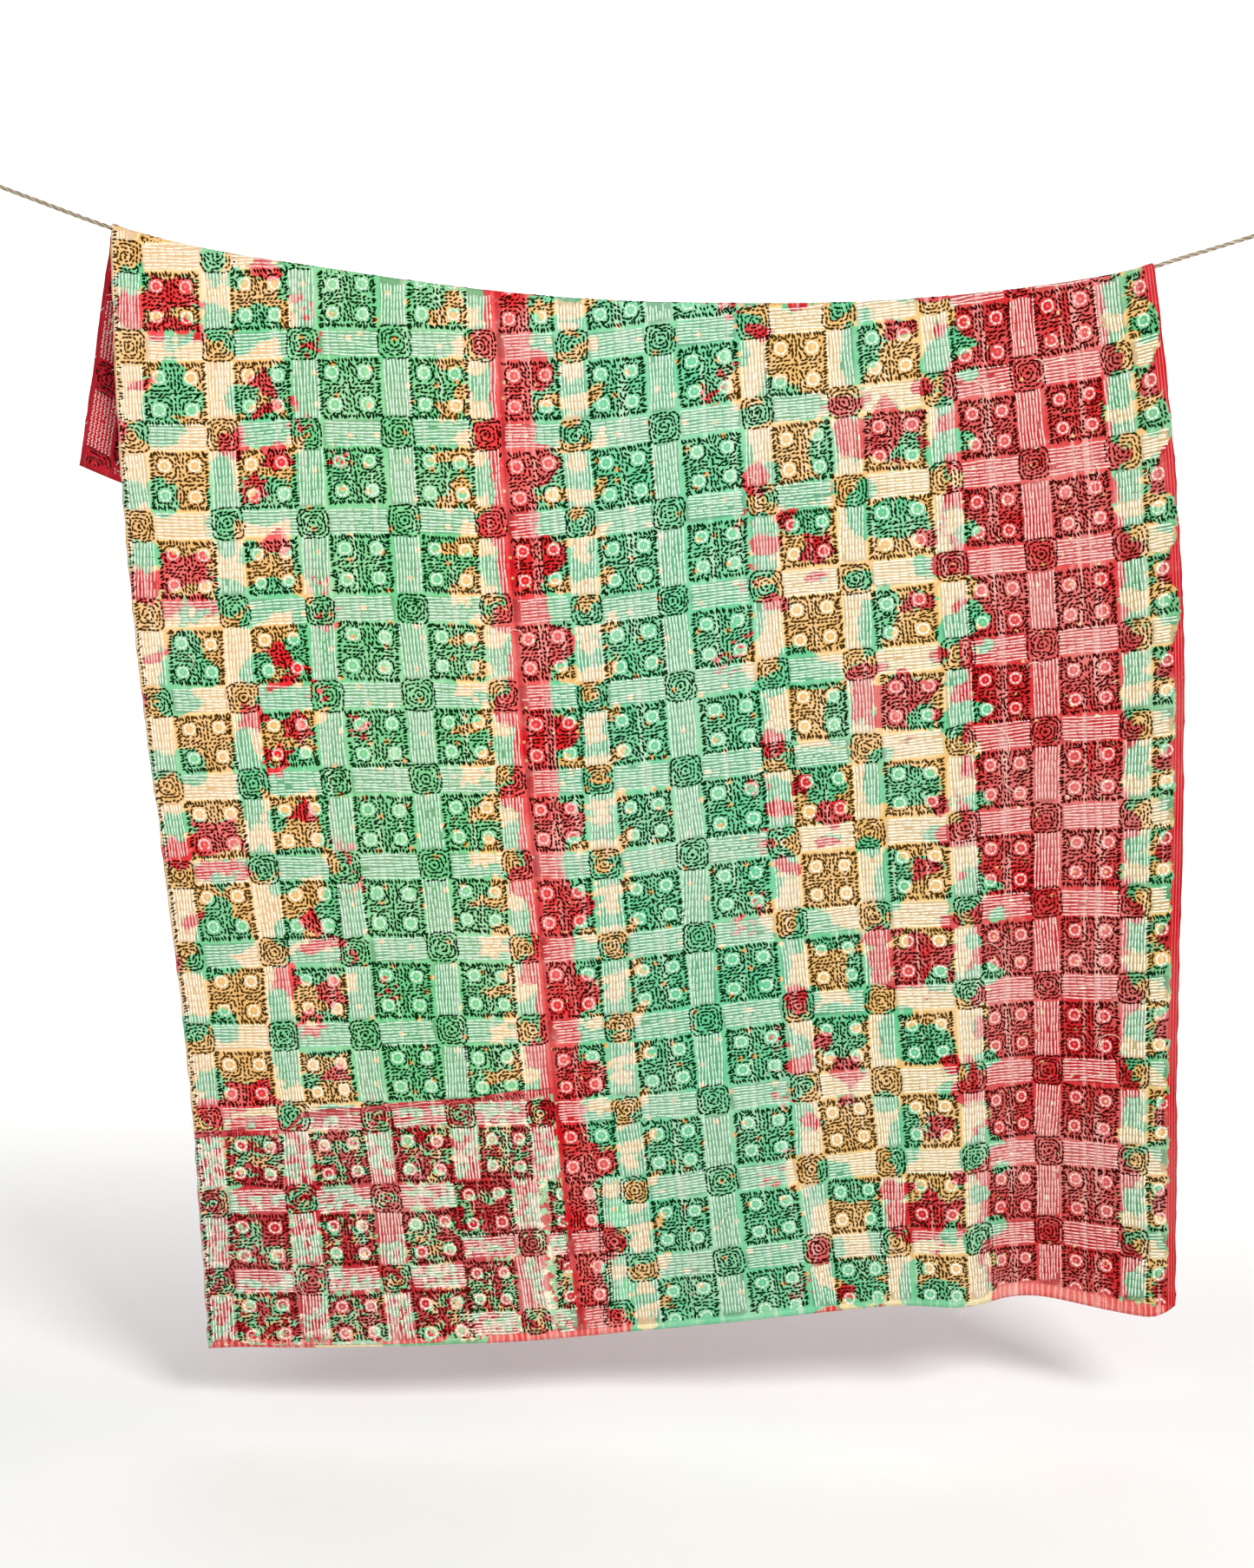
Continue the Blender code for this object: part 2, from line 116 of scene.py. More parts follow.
# Shallow creases of the quilt by cells across and up at both ends, half width and depth, + outwards
CREASES = (
    (0.3, 11.8, 1.6, 7.5, 0.30, 0.0022), (1.4, 12.3, 3.2, 8.4, 0.34, -0.0018),
    (3.3, 12.0, 3.6, 9.6, 0.30, 0.0016), (5.3, 11.6, 5.0, 7.9, 0.35, 0.0018),
    (6.3, 11.7, 6.2, 9.0, 0.30, -0.0016), (7.8, 11.4, 7.2, 8.2, 0.32, 0.0018),
    (8.9, 11.4, 8.0, 8.8, 0.26, -0.0018), (10.8, 11.3, 9.7, 8.0, 0.34, 0.0020),
    (11.5, 11.2, 10.7, 7.4, 0.30, -0.0018), (0.4, 6.2, 2.1, 5.2, 0.30, -0.0016),
    (2.5, 5.8, 5.0, 4.6, 0.32, 0.0016), (6.2, 6.4, 8.4, 5.7, 0.30, -0.0016),
    (8.7, 5.0, 11.3, 5.8, 0.34, 0.0018), (0.6, 3.3, 3.9, 3.6, 0.22, 0.0020),
    (1.0, 1.4, 2.9, 0.3, 0.26, -0.0016), (5.2, 2.4, 6.6, 0.4, 0.30, 0.0020),
    (9.4, 2.2, 9.9, 0.2, 0.24, 0.0022), (10.6, 2.0, 11.0, 0.1, 0.22, -0.0022),
    (4.2, 8.4, 4.5, 3.4, 0.20, -0.0014), (7.4, 3.6, 7.9, 0.8, 0.28, -0.0018),
)

# Half sizes of the quilting's figures in cells
CROSSING_HALF = 0.18
BLOCK_HALF = 0.35
BAR_HALF_WIDTH = 0.145
BAR_HALF_LENGTH = 0.33

# Where the upright rows of crossings lie across the cloth, and how far up their first one is
CROSSING_PLACES = (0.17, 1.19, 2.14, 3.16, 4.11, 5.12, 6.11, 7.16, 8.12, 9.19, 10.14, 11.12)
CROSSING_RISES = (0.83, 0.86, 0.84, 0.87, 0.85, 0.79, 0.77, 0.79, 0.80, 0.82, 0.85, 0.85)

# The same rows with one more beyond each side, and their numbers
ROW_PLACES = (CROSSING_PLACES[0] - 1.0, *CROSSING_PLACES, CROSSING_PLACES[-1] + 1.0)
ROW_RISES = (CROSSING_RISES[0], *CROSSING_RISES, CROSSING_RISES[-1])
ROW_NUMBERS = tuple(range(-1, 13))

# Elements of the quilting that leave the regular rows, by kind and cells across and up
STRAY = (
    ("block", 3.32, 1.70), ("upright", 3.83, 1.72), ("level", 3.31, 1.22),
    ("crossing", 3.82, 1.24), ("block", 3.27, 0.72), ("upright", 3.77, 0.72),
    ("level", 3.22, 0.24), ("crossing", 3.76, 0.24), ("level", 4.38, 1.18),
    ("level", 4.34, 0.22), ("crossing", 4.80, 1.17), ("crossing", 4.77, 0.21),
    ("block", 4.40, 0.70), ("block", 4.42, 1.66), ("upright", 4.81, 0.70),
    ("upright", 4.88, 1.66),
)

# The plain strip of the right edge, and the border print that bulges over it
STRIP_START = 11.53
BULGE = 0.10
EDGE_REPEAT = 1.015
EDGE_START = 10.84


# The hanging surface
def spline(knots, values):
    """Natural cubic spline through the values at the knots."""
    knots = np.array(knots, dtype=float)
    values = np.array(values, dtype=float)
    count = len(knots)
    steps = np.diff(knots)
    system = np.eye(count)
    right = np.zeros(count)
    for i in range(1, count - 1):
        system[i, i - 1:i + 2] = steps[i - 1], 2.0 * (steps[i - 1] + steps[i]), steps[i]
        rises = (values[i + 1] - values[i]) / steps[i] - (values[i] - values[i - 1]) / steps[i - 1]
        right[i] = 6.0 * rises
    bend = np.linalg.solve(system, right)

    def value(x):
        x = np.asarray(x, dtype=float)
        i = np.clip(np.searchsorted(knots, x) - 1, 0, count - 2)
        before = x - knots[i]
        after = knots[i + 1] - x
        step = steps[i]
        cubic = (bend[i] * after ** 3 + bend[i + 1] * before ** 3) / (6.0 * step)
        start = (values[i] / step - bend[i] * step / 6.0) * after
        end = (values[i + 1] / step - bend[i + 1] * step / 6.0) * before
        return cubic + start + end

    return value


rope_height = spline([point[0] for point in ROPE_ROUTE], [point[1] for point in ROPE_ROUTE])
lines = {}
for number, column in enumerate(HANG_COLUMNS[1:], start=1):
    lines[column] = spline([row[0] for row in HANG], [row[number] for row in HANG])


def fold_depth(folds, u, reach):
    """How far folds that fade towards the rope stand off the plain sheet."""
    depth = 0.0
    for top, hem, half_width, hem_depth in folds:
        centre = top + (hem - top) * reach
        depth = depth + hem_depth * np.exp(-((u - centre) / half_width) ** 2)
    return depth * reach ** FOLD_FADE


def front_points(u, height):
    """Points of the front, 0 at its hem and 1 at the rope."""
    rope_x = lines["rope_x"](u)
    hem_x = lines["hem_x"](u)
    hem_z = lines["hem_z"](u)
    bow = lines["bow"](u) * 4.0 * height * (1.0 - height)
    sway = lines["sway"](u) * np.sin(2.0 * math.pi * height)
    x = hem_x + (rope_x - hem_x) * height + bow + sway
    y = fold_depth(FRONT_FOLDS, u, 1.0 - height) - FOLD_RADIUS
    return np.stack([x, y, hem_z + (rope_height(rope_x) - hem_z) * height], axis=-1)


def arc_points(u, angle):
    """Points of the half turn over the rope."""
    x = lines["rope_x"](u)
    slope = (rope_height(x + 0.001) - rope_height(x - 0.001)) / 0.002
    size = np.sqrt(1.0 + slope ** 2)
    out = FOLD_RADIUS * np.sin(angle) / size
    y = -FOLD_RADIUS * np.cos(angle)
    return np.stack([x - slope * out, y, rope_height(x) + out], axis=-1)


def flap_points(u, reach):
    """Points of the flap, 0 at the rope and 1 at its hem."""
    lean = lines["flap_lean"](u)
    fall = lines["flap_cells"](u) * CELL * reach
    rope_x = lines["rope_x"](u)
    y = FOLD_RADIUS + FLAP_STANDOFF * reach * (2.0 - reach) + fold_depth(FLAP_FOLDS, u, reach)
    z = rope_height(rope_x) - fall * np.sqrt(1.0 - lean * lean)
    return np.stack([rope_x + lean * fall, y, z], axis=-1)


def cloth_points(u, v):
    """Middle of the quilt at cells across and up."""
    drop = lines["drop_cells"](u)
    over = v - drop
    front = front_points(u, np.clip(v / drop, 0.0, 1.0))
    arc = arc_points(u, np.clip(over / ARC_CELLS, 0.0, 1.0) * math.pi)
    reach = np.clip((over - ARC_CELLS) / lines["flap_cells"](u), 0.0, 1.0)
    flap = flap_points(u, reach)
    on_flap = (over > ARC_CELLS)[..., None]
    on_arc = (over > 0.0)[..., None]
    return np.where(on_flap, flap, np.where(on_arc, arc, front))


def cloth_normals(u, v):
    step = 0.03
    across = cloth_points(u + step, v) - cloth_points(u - step, v)
    along = cloth_points(u, v + step) - cloth_points(u, np.maximum(v - step, 0.0))
    normal = np.cross(across, along)
    return normal / np.linalg.norm(normal, axis=-1, keepdims=True)


def cloth_total(u):
    """Cells from the front hem to the hem of the flap."""
    return lines["drop_cells"](u) + ARC_CELLS + lines["flap_cells"](u)


def value_noise(x, y, seed):
    """Smooth noise from -1 to 1, one bump a unit."""
    table = np.random.default_rng(seed).uniform(-1.0, 1.0, (64, 64))
    x_cell = np.floor(x).astype(int)
    y_cell = np.floor(y).astype(int)
    x_share = x - x_cell
    y_share = y - y_cell
    x_share = x_share * x_share * (3.0 - 2.0 * x_share)
    y_share = y_share * y_share * (3.0 - 2.0 * y_share)
    low = table[x_cell % 64, y_cell % 64] * (1.0 - x_share)
    low = low + table[(x_cell + 1) % 64, y_cell % 64] * x_share
    high = table[x_cell % 64, (y_cell + 1) % 64] * (1.0 - x_share)
    high = high + table[(x_cell + 1) % 64, (y_cell + 1) % 64] * x_share
    return low * (1.0 - y_share) + high * y_share


def crumple(u, v):
    """Shallow creases and unevenness of the whole quilt, none at the rope."""
    height = 0.0012 * value_noise(u * 1.3, v * 1.1, 3) + 0.0009 * value_noise(u * 2.9, v * 2.3, 4)
    for u_start, v_start, u_end, v_end, half_width, depth in CREASES:
        length = math.hypot(u_end - u_start, v_end - v_start)
        along_u = (u_end - u_start) / length
        along_v = (v_end - v_start) / length
        along = (u - u_start) * along_u + (v - v_start) * along_v
        aside = (u - u_start) * along_v - (v - v_start) * along_u
        ends = np.clip(along / 0.8, 0.0, 1.0) * np.clip((length - along) / 0.8, 0.0, 1.0)
        height = height + depth * ends * np.exp(-(aside / half_width) ** 2)
    away = np.abs(v - lines["drop_cells"](u) - ARC_CELLS / 2)
    return height * np.clip((away - 0.1) / 0.9, 0.0, 1.0)


def quilting_places(u, v):
    """Places counted along the rows of crossings, which are whole numbers on both axes."""
    p = np.interp(u, ROW_PLACES, ROW_NUMBERS)
    return p, v - np.interp(u, ROW_PLACES, ROW_RISES)


def cloth_places(p, q):
    """Cells across and up of places counted along the rows of crossings."""
    u = np.interp(p, ROW_NUMBERS, ROW_PLACES)
    return u, q + np.interp(u, ROW_PLACES, ROW_RISES)


def hem_height(u):
    """How far up the lowest stitches of the face start, in cells."""
    return 0.07 + 0.09 * np.clip((u - 9.2) / 0.3, 0.0, 1.0)


def strip_start(v):
    """Cells across at which the plain strip of the right edge starts."""
    bulge = 0.5 - 0.5 * np.cos(2.0 * math.pi * (EDGE_START - v - 0.28) / EDGE_REPEAT)
    return STRIP_START + BULGE * bulge * np.clip((v - 7.0) / 1.5, 0.0, 1.0)


def in_stray_area(p, q):
    """Whether a quilting place is where the figures leave their regular rows."""
    return (p > 2.95) & (p < 4.72) & (q < 1.2)


def figure_depths(u, v):
    """How far inside a dark figure and a pale bar of the quilting a place lies."""
    p, q = quilting_places(u, v)
    p_side = np.abs(p - np.rint(p))
    q_side = np.abs(q - np.rint(q))
    crossing = CROSSING_HALF - np.maximum(p_side, q_side)
    block = BLOCK_HALF - np.maximum(0.5 - p_side, 0.5 - q_side)
    upright = np.minimum(BAR_HALF_WIDTH - p_side, BAR_HALF_LENGTH - (0.5 - q_side))
    level = np.minimum(BAR_HALF_WIDTH - q_side, BAR_HALF_LENGTH - (0.5 - p_side))
    stray_dark = np.full(u.shape, -1.0)
    stray_pale = np.full(u.shape, -1.0)
    for kind, across, up in STRAY:
        du = np.abs(u - across)
        dv = np.abs(v - up)
        if kind == "upright":
            bar = np.minimum(BAR_HALF_WIDTH - du, BAR_HALF_LENGTH - dv)
            stray_pale = np.maximum(stray_pale, bar)
        elif kind == "level":
            bar = np.minimum(BAR_HALF_LENGTH - du, BAR_HALF_WIDTH - dv)
            stray_pale = np.maximum(stray_pale, bar)
        else:
            half = BLOCK_HALF if kind == "block" else CROSSING_HALF
            stray_dark = np.maximum(stray_dark, half - np.maximum(du, dv))
    stray = in_stray_area(p, q)
    dark = np.where(stray, stray_dark, np.maximum(crossing, block))
    pale = np.where(stray, stray_pale, np.maximum(upright, level))
    sewn = np.minimum(v - hem_height(u), strip_start(v) - u)
    return np.minimum(dark, sewn), np.minimum(pale, sewn)


def puff(u, v):
    """How much the cloth swells between the lines of stitches."""
    p, q = quilting_places(u, v)
    p_side = np.abs(p - np.rint(p))
    q_side = np.abs(q - np.rint(q))
    in_bar = np.minimum(np.abs(p_side - 0.165), np.abs(q_side - 0.165))
    circle = np.hypot(np.abs(p_side - 0.5) - 0.165, np.abs(q_side - 0.5) - 0.165)
    swell = 0.00035 * np.exp(-(in_bar / 0.045) ** 2) + 0.0004 * np.exp(-(circle / 0.07) ** 2)
    edge = np.minimum(np.minimum(u, WIDTH_CELLS - u), np.minimum(v, cloth_total(u) - v))
    hem = 0.0006 * np.exp(-((edge - 0.05) / 0.045) ** 2)
    seam = -0.0002 * np.exp(-((u - SEAM_CELLS) / 0.03) ** 2)
    return swell + hem + seam


def surface(u, v, lift):
    """Points that a lift raises off the middle of the quilt, and its normals."""
    base = cloth_points(u, v)
    normal = cloth_normals(u, v)
    return base + normal * (crumple(u, v) + lift)[..., None], normal


# The print
REPEAT = 3.1
PRINT_START = 10.80
STRIPE_REPEAT = 1.04
STRIPE_START = 11.84
LEFT_FLORALS_END = 1.90
RIGHT_FLORALS = (7.03, 9.22)
RED_PANEL = (9.18, 11.02)
RED_STRIPE = 4.41
RED_STRIPE_HALF = 0.235
HEM_BAND = ((0.0, 1.1, 1.3, 3.0, 3.2, 4.7, 4.75), (0.05, 0.04, -0.1, -0.1, 0.12, 0.12, -0.5))

# Motifs by cells across, cells down from the start of the repeat, half sizes, turn, petals and ink
FLORAL_LEFT = (
    (0.12, 0.60, 0.20, 0.17, 0, 0, "mint"), (0.50, 0.62, 0.20, 0.22, 20, 0, "mint"),
    (1.16, 0.75, 0.16, 0.62, 0, 0, "mint"), (1.64, 0.72, 0.38, 0.28, 0, 0, "mint"),
    (1.65, 3.00, 0.34, 0.20, 0, 0, "mint"), (1.52, 0.58, 0.16, 0.16, 0, 7, "red"),
    (1.52, 0.58, 0.07, 0.07, 0, 0, "tan"), (1.79, 0.21, 0.17, 0.17, 0, 6, "red"),
    (1.30, 0.05, 0.15, 0.17, 30, 5, "red"), (1.70, 2.76, 0.22, 0.06, 25, 0, "red"),
    (0.20, 1.64, 0.19, 0.21, 0, 0, "red"), (0.66, 1.50, 0.34, 0.24, 0, 5, "red"),
    (0.74, 1.66, 0.30, 0.06, 10, 0, "tan"), (0.52, 1.84, 0.17, 0.13, 25, 0, "red"),
    (0.86, 1.84, 0.18, 0.12, -20, 0, "red"), (0.62, 1.94, 0.06, 0.14, 10, 0, "mint"),
    (0.80, 1.95, 0.13, 0.05, 35, 0, "mint"), (0.24, 1.30, 0.17, 0.16, 0, 5, "mint"),
    (1.16, 1.78, 0.16, 0.22, 0, 0, "mint"), (1.66, 1.78, 0.36, 0.19, 0, 0, "mint"),
    (1.40, 2.02, 0.20, 0.11, 20, 0, "mint"), (0.60, 2.55, 0.30, 0.33, -15, 3, "mint"),
    (0.86, 2.34, 0.12, 0.10, 0, 0, "tan"), (0.25, 2.44, 0.15, 0.06, 20, 0, "red"),
    (1.72, 2.52, 0.26, 0.12, -35, 3, "red"), (1.90, 2.44, 0.12, 0.22, 0, 0, "mint"),
    (0.45, 2.97, 0.30, 0.16, 0, 0, "mint"), (0.00, 2.95, 0.10, 0.14, 0, 0, "red"),
    (1.38, 2.62, 0.19, 0.17, 20, 0, "mint"), (1.80, 2.35, 0.09, 0.10, 0, 0, "mint"),
    (1.75, 1.20, 0.15, 0.12, 0, 3, "red"), (1.42, 1.28, 0.11, 0.13, 0, 0, "mint"),
    (1.98, 1.72, 0.10, 0.16, 10, 0, "tan"), (2.00, 0.10, 0.12, 0.10, 0, 4, "tan"),
)
FLORAL_RIGHT = (
    (6.98, 2.85, 0.16, 0.24, 0, 0, "tan"), (7.35, 2.85, 0.27, 0.13, -15, 0, "mint"),
    (7.60, 0.02, 0.36, 0.15, -5, 0, "mint"), (8.12, 0.05, 0.18, 0.13, 0, 0, "red"),
    (8.60, 0.42, 0.38, 0.33, 0, 6, "red"), (8.80, 0.60, 0.14, 0.15, 0, 3, "mint"),
    (8.55, 0.74, 0.15, 0.07, 0, 0, "tan"), (8.12, 0.38, 0.13, 0.23, 0, 0, "red"),
    (8.30, 0.02, 0.16, 0.05, 10, 0, "red"), (8.98, 3.02, 0.11, 0.09, 0, 0, "red"),
    (9.10, 0.72, 0.13, 0.14, 0, 0, "mint"), (7.87, 0.55, 0.15, 0.37, 0, 0, "mint"),
    (7.30, 0.72, 0.11, 0.15, 0, 0, "mint"), (7.12, 0.75, 0.15, 0.19, 0, 0, "red"),
    (7.60, 0.98, 0.38, 0.15, 0, 0, "mint"), (7.62, 1.28, 0.30, 0.19, 0, 0, "mint"),
    (7.72, 1.64, 0.18, 0.17, 0, 5, "red"), (7.42, 1.27, 0.12, 0.11, 0, 6, "red"),
    (7.12, 1.35, 0.18, 0.20, 0, 0, "mint"), (7.12, 1.78, 0.16, 0.13, 0, 0, "mint"),
    (7.15, 1.53, 0.18, 0.12, 0, 0, "red"), (8.33, 1.00, 0.14, 0.11, 0, 0, "mint"),
    (8.62, 1.38, 0.36, 0.25, 0, 0, "mint"), (8.21, 1.26, 0.13, 0.30, 0, 0, "mint"),
    (8.93, 1.62, 0.11, 0.13, 0, 0, "red"), (8.85, 1.95, 0.10, 0.13, 0, 0, "mint"),
    (9.10, 1.97, 0.20, 0.15, 0, 0, "red"), (8.38, 2.45, 0.15, 0.35, 0, 0, "mint"),
    (8.74, 2.36, 0.17, 0.12, 10, 3, "red"), (8.24, 2.60, 0.14, 0.36, 0, 0, "mint"),
    (8.12, 2.05, 0.15, 0.13, 0, 0, "mint"), (7.66, 1.97, 0.13, 0.07, 0, 0, "red"),
    (7.10, 2.12, 0.17, 0.14, 0, 0, "mint"), (7.20, 2.22, 0.17, 0.09, -25, 0, "red"),
    (7.42, 3.02, 0.24, 0.15, 0, 0, "mint"), (9.12, 2.75, 0.17, 0.19, 0, 0, "mint"),
    (9.33, 0.58, 0.26, 0.13, 0, 0, "mint"), (9.34, 1.00, 0.10, 0.10, 0, 0, "tan"),
    (9.26, 1.45, 0.12, 0.17, 0, 0, "tan"), (9.38, 1.60, 0.14, 0.10, 0, 4, "mint"),
    (9.26, 2.25, 0.13, 0.16, 0, 0, "tan"), (9.30, 2.62, 0.22, 0.15, 0, 4, "mint"),
    (9.22, 0.15, 0.11, 0.12, 0, 0, "mint"), (9.50, 2.95, 0.11, 0.08, 0, 0, "mint"),
    (7.04, 2.80, 0.16, 0.20, 0, 0, "tan"), (7.12, 0.05, 0.17, 0.14, 0, 0, "mint"),
)
STRIPE = (
    (4.12, 0.00, 0.15, 0.19, 0, 0, "red"), (4.70, 0.30, 0.23, 0.22, 0, 0, "red"),
    (5.14, 0.15, 0.27, 0.06, 6, 0, "tan"), (5.36, 0.06, 0.06, 0.10, -30, 0, "tan"),
    (5.10, 0.32, 0.11, 0.11, 0, 5, "tan"), (5.12, 0.69, 0.18, 0.11, 0, 0, "tan"),
    (5.34, 0.60, 0.07, 0.12, -35, 0, "tan"), (4.82, 0.66, 0.11, 0.10, 0, 5, "tan"),
    (4.97, 0.68, 0.14, 0.04, 0, 0, "tan"), (5.10, 0.89, 0.11, 0.08, 0, 0, "tan"),
    (3.70, 0.74, 0.14, 0.11, 30, 5, "tan"), (3.86, 0.55, 0.11, 0.10, 0, 0, "tan"),
    (4.00, 0.74, 0.14, 0.12, 0, 5, "tan"), (3.90, 0.02, 0.11, 0.11, 0, 5, "tan"),
    (3.74, 0.20, 0.21, 0.07, 8, 0, "tan"), (4.02, 0.22, 0.14, 0.10, 0, 0, "tan"),
)
EDGE = (
    (11.40, 0.01, 0.18, 0.11, -5, 0, "tan"), (11.24, 0.03, 0.09, 0.15, 0, 0, "tan"),
    (11.07, 0.01, 0.14, 0.16, 0, 0, "red"), (10.98, 0.66, 0.07, 0.12, 0, 0, "red"),
    (11.40, 0.34, 0.14, 0.12, 0, 5, "tan"), (11.60, 0.32, 0.20, 0.24, 12, 3, "red"),
    (11.38, 0.55, 0.20, 0.08, 5, 0, "tan"), (11.11, 0.60, 0.17, 0.10, -20, 0, "tan"),
    (11.31, 0.87, 0.11, 0.08, 0, 0, "tan"), (11.56, 0.97, 0.07, 0.08, 0, 0, "tan"),
    (11.17, 0.88, 0.07, 0.09, 0, 0, "tan"),
)

# Sprigs of small red dots by cells across and up, and their dots by offsets and half size
SPRIGS = (
    (2.15, 12.23), (2.22, 11.82), (2.47, 10.57), (6.84, 11.24), (6.62, 11.02), (6.90, 9.60),
    (2.04, 11.00), (6.92, 12.00),
)
SPRIG_DOTS = (
    (0.00, 0.00, 0.036), (0.09, 0.05, 0.030), (-0.07, 0.07, 0.028), (-0.10, -0.05, 0.032),
    (0.04, -0.10, 0.034), (0.13, -0.06, 0.024), (-0.02, 0.14, 0.026), (-0.13, 0.13, 0.020),
)

# Plain red places of the patch by cells across and up, and half sizes; they repeat across it
PATCH_REDS = (
    (0.66, 1.52, 0.17, 0.26), (0.60, 2.02, 0.30, 0.12), (0.50, 0.98, 0.26, 0.11),
    (1.08, 0.62, 0.10, 0.20),
)


def patch_top(u):
    return np.interp(u, *PATCH_TOP)


def inks(u, v):
    """How far inside the tan and the red ink a place lies, and whether its ground has dots."""
    wander_u = 0.034 * value_noise(u * 5.5, v * 5.5, 21) + 0.05 * value_noise(0.3 * u, v * 0.7, 22)
    wander_v = 0.034 * value_noise(u * 5.5, v * 5.5, 23) + 0.03 * value_noise(0.5 * u, v * 0.5, 24)
    x = u + wander_u
    y = v + wander_v
    fields = {"tan": np.full(u.shape, -1.0), "red": np.full(u.shape, -1.0)}

    def lay(field, ink):
        for name in fields:
            if name == ink:
                fields[name] = np.maximum(fields[name], field)
            else:
                fields[name] = np.minimum(fields[name], -field)

    def motifs(table, repeat, start):
        down = start - y
        for across, place, half_u, half_v, turn, petals, ink in table:
            du = x - across
            dv = (down - place + repeat / 2) % repeat - repeat / 2
            c = math.cos(math.radians(turn))
            s = math.sin(math.radians(turn))
            a = (du * c - dv * s) / half_u
            b = (du * s + dv * c) / half_v
            radius = np.hypot(a, b)
            if petals:
                radius = radius * (1.0 + 0.22 * np.cos(petals * np.arctan2(b, a) + place))
            lay((1.0 - radius) * min(half_u, half_v), ink)

    lay(LEFT_FLORALS_END + 0.05 * np.sin(2.0 * v) - x, "tan")
    lay(np.minimum(x - RIGHT_FLORALS[0] - 0.04 * np.sin(6.2 * v), RIGHT_FLORALS[1] - x), "tan")
    lay(np.minimum(x - RED_PANEL[0] - 0.06 * np.sin(5.9 * v), RED_PANEL[1] - x), "red")
    motifs(FLORAL_LEFT, REPEAT, PRINT_START)
    motifs(FLORAL_RIGHT, REPEAT, PRINT_START)
    lay(RED_STRIPE_HALF - np.abs(x - RED_STRIPE), "red")
    motifs(STRIPE, STRIPE_REPEAT, STRIPE_START)
    motifs(EDGE, EDGE_REPEAT, EDGE_START)
    for number in range(5 * len(SPRIGS)):
        across, up = SPRIGS[number % len(SPRIGS)]
        up = up - REPEAT * (number // len(SPRIGS))
        side = -1.0 if number % 2 else 1.0
        for du, dv, half in SPRIG_DOTS:
            lay(half - np.hypot(u - across - side * du, v - up - dv), "red")
    lay(np.minimum(v - 12.95, 0.6 - u), "tan")
    lay(u - strip_start(v) - 0.005, "red")
    lay(np.interp(u, *HEM_BAND) - v, "red")
    lay(np.minimum(0.15 - v, u - 9.35), "red")
    lay(np.minimum(0.42 - v, u - 11.40), "red")
    dotted = (v > 0.25) & (((u > 1.9) & (u < 7.1)) | ((u > 9.2) & (u < 11.0)))
    return np.stack([fields["tan"], fields["red"], dotted.astype(float)], axis=-1)


def patch_inks(u, v):
    """Mottled red, pale mint and white of the patch, with a row of plain red places now and then."""
    red = 0.05 * value_noise(u * 3.1, v * 3.1, 33) - 0.01
    for across, up, half_u, half_v in PATCH_REDS:
        du = (u - across - 0.18 * (up > 1.0) + 0.65) % 1.30 - 0.65
        spot = 1.0 - np.maximum(np.abs(du) / half_u, np.abs(v - up) / half_v)
        red = np.maximum(red, np.clip(spot * 0.6, -1.0, 0.22))
    tan = 0.07 * value_noise(u * 3.3 + 7.3, v * 3.3 + 3.1, 35) - 0.045
    border = np.abs(v - patch_top(u) + 0.035) < 0.03
    tan = np.where(border, -0.5, np.minimum(tan, 0.10 - red))
    return np.stack([tan, np.where(border, 0.5, red), np.zeros(u.shape)], axis=-1)


# Materials
def paint(red, green, blue, alpha=1.0):
    """Linear colour from a colour as it is seen on screen, 0 to 255."""
    linear = []
    for value in (red, green, blue):
        value = value / 255.0
        linear.append(value / 12.92 if value <= 0.04045 else ((value + 0.055) / 1.055) ** 2.4)
    return (*linear, alpha)


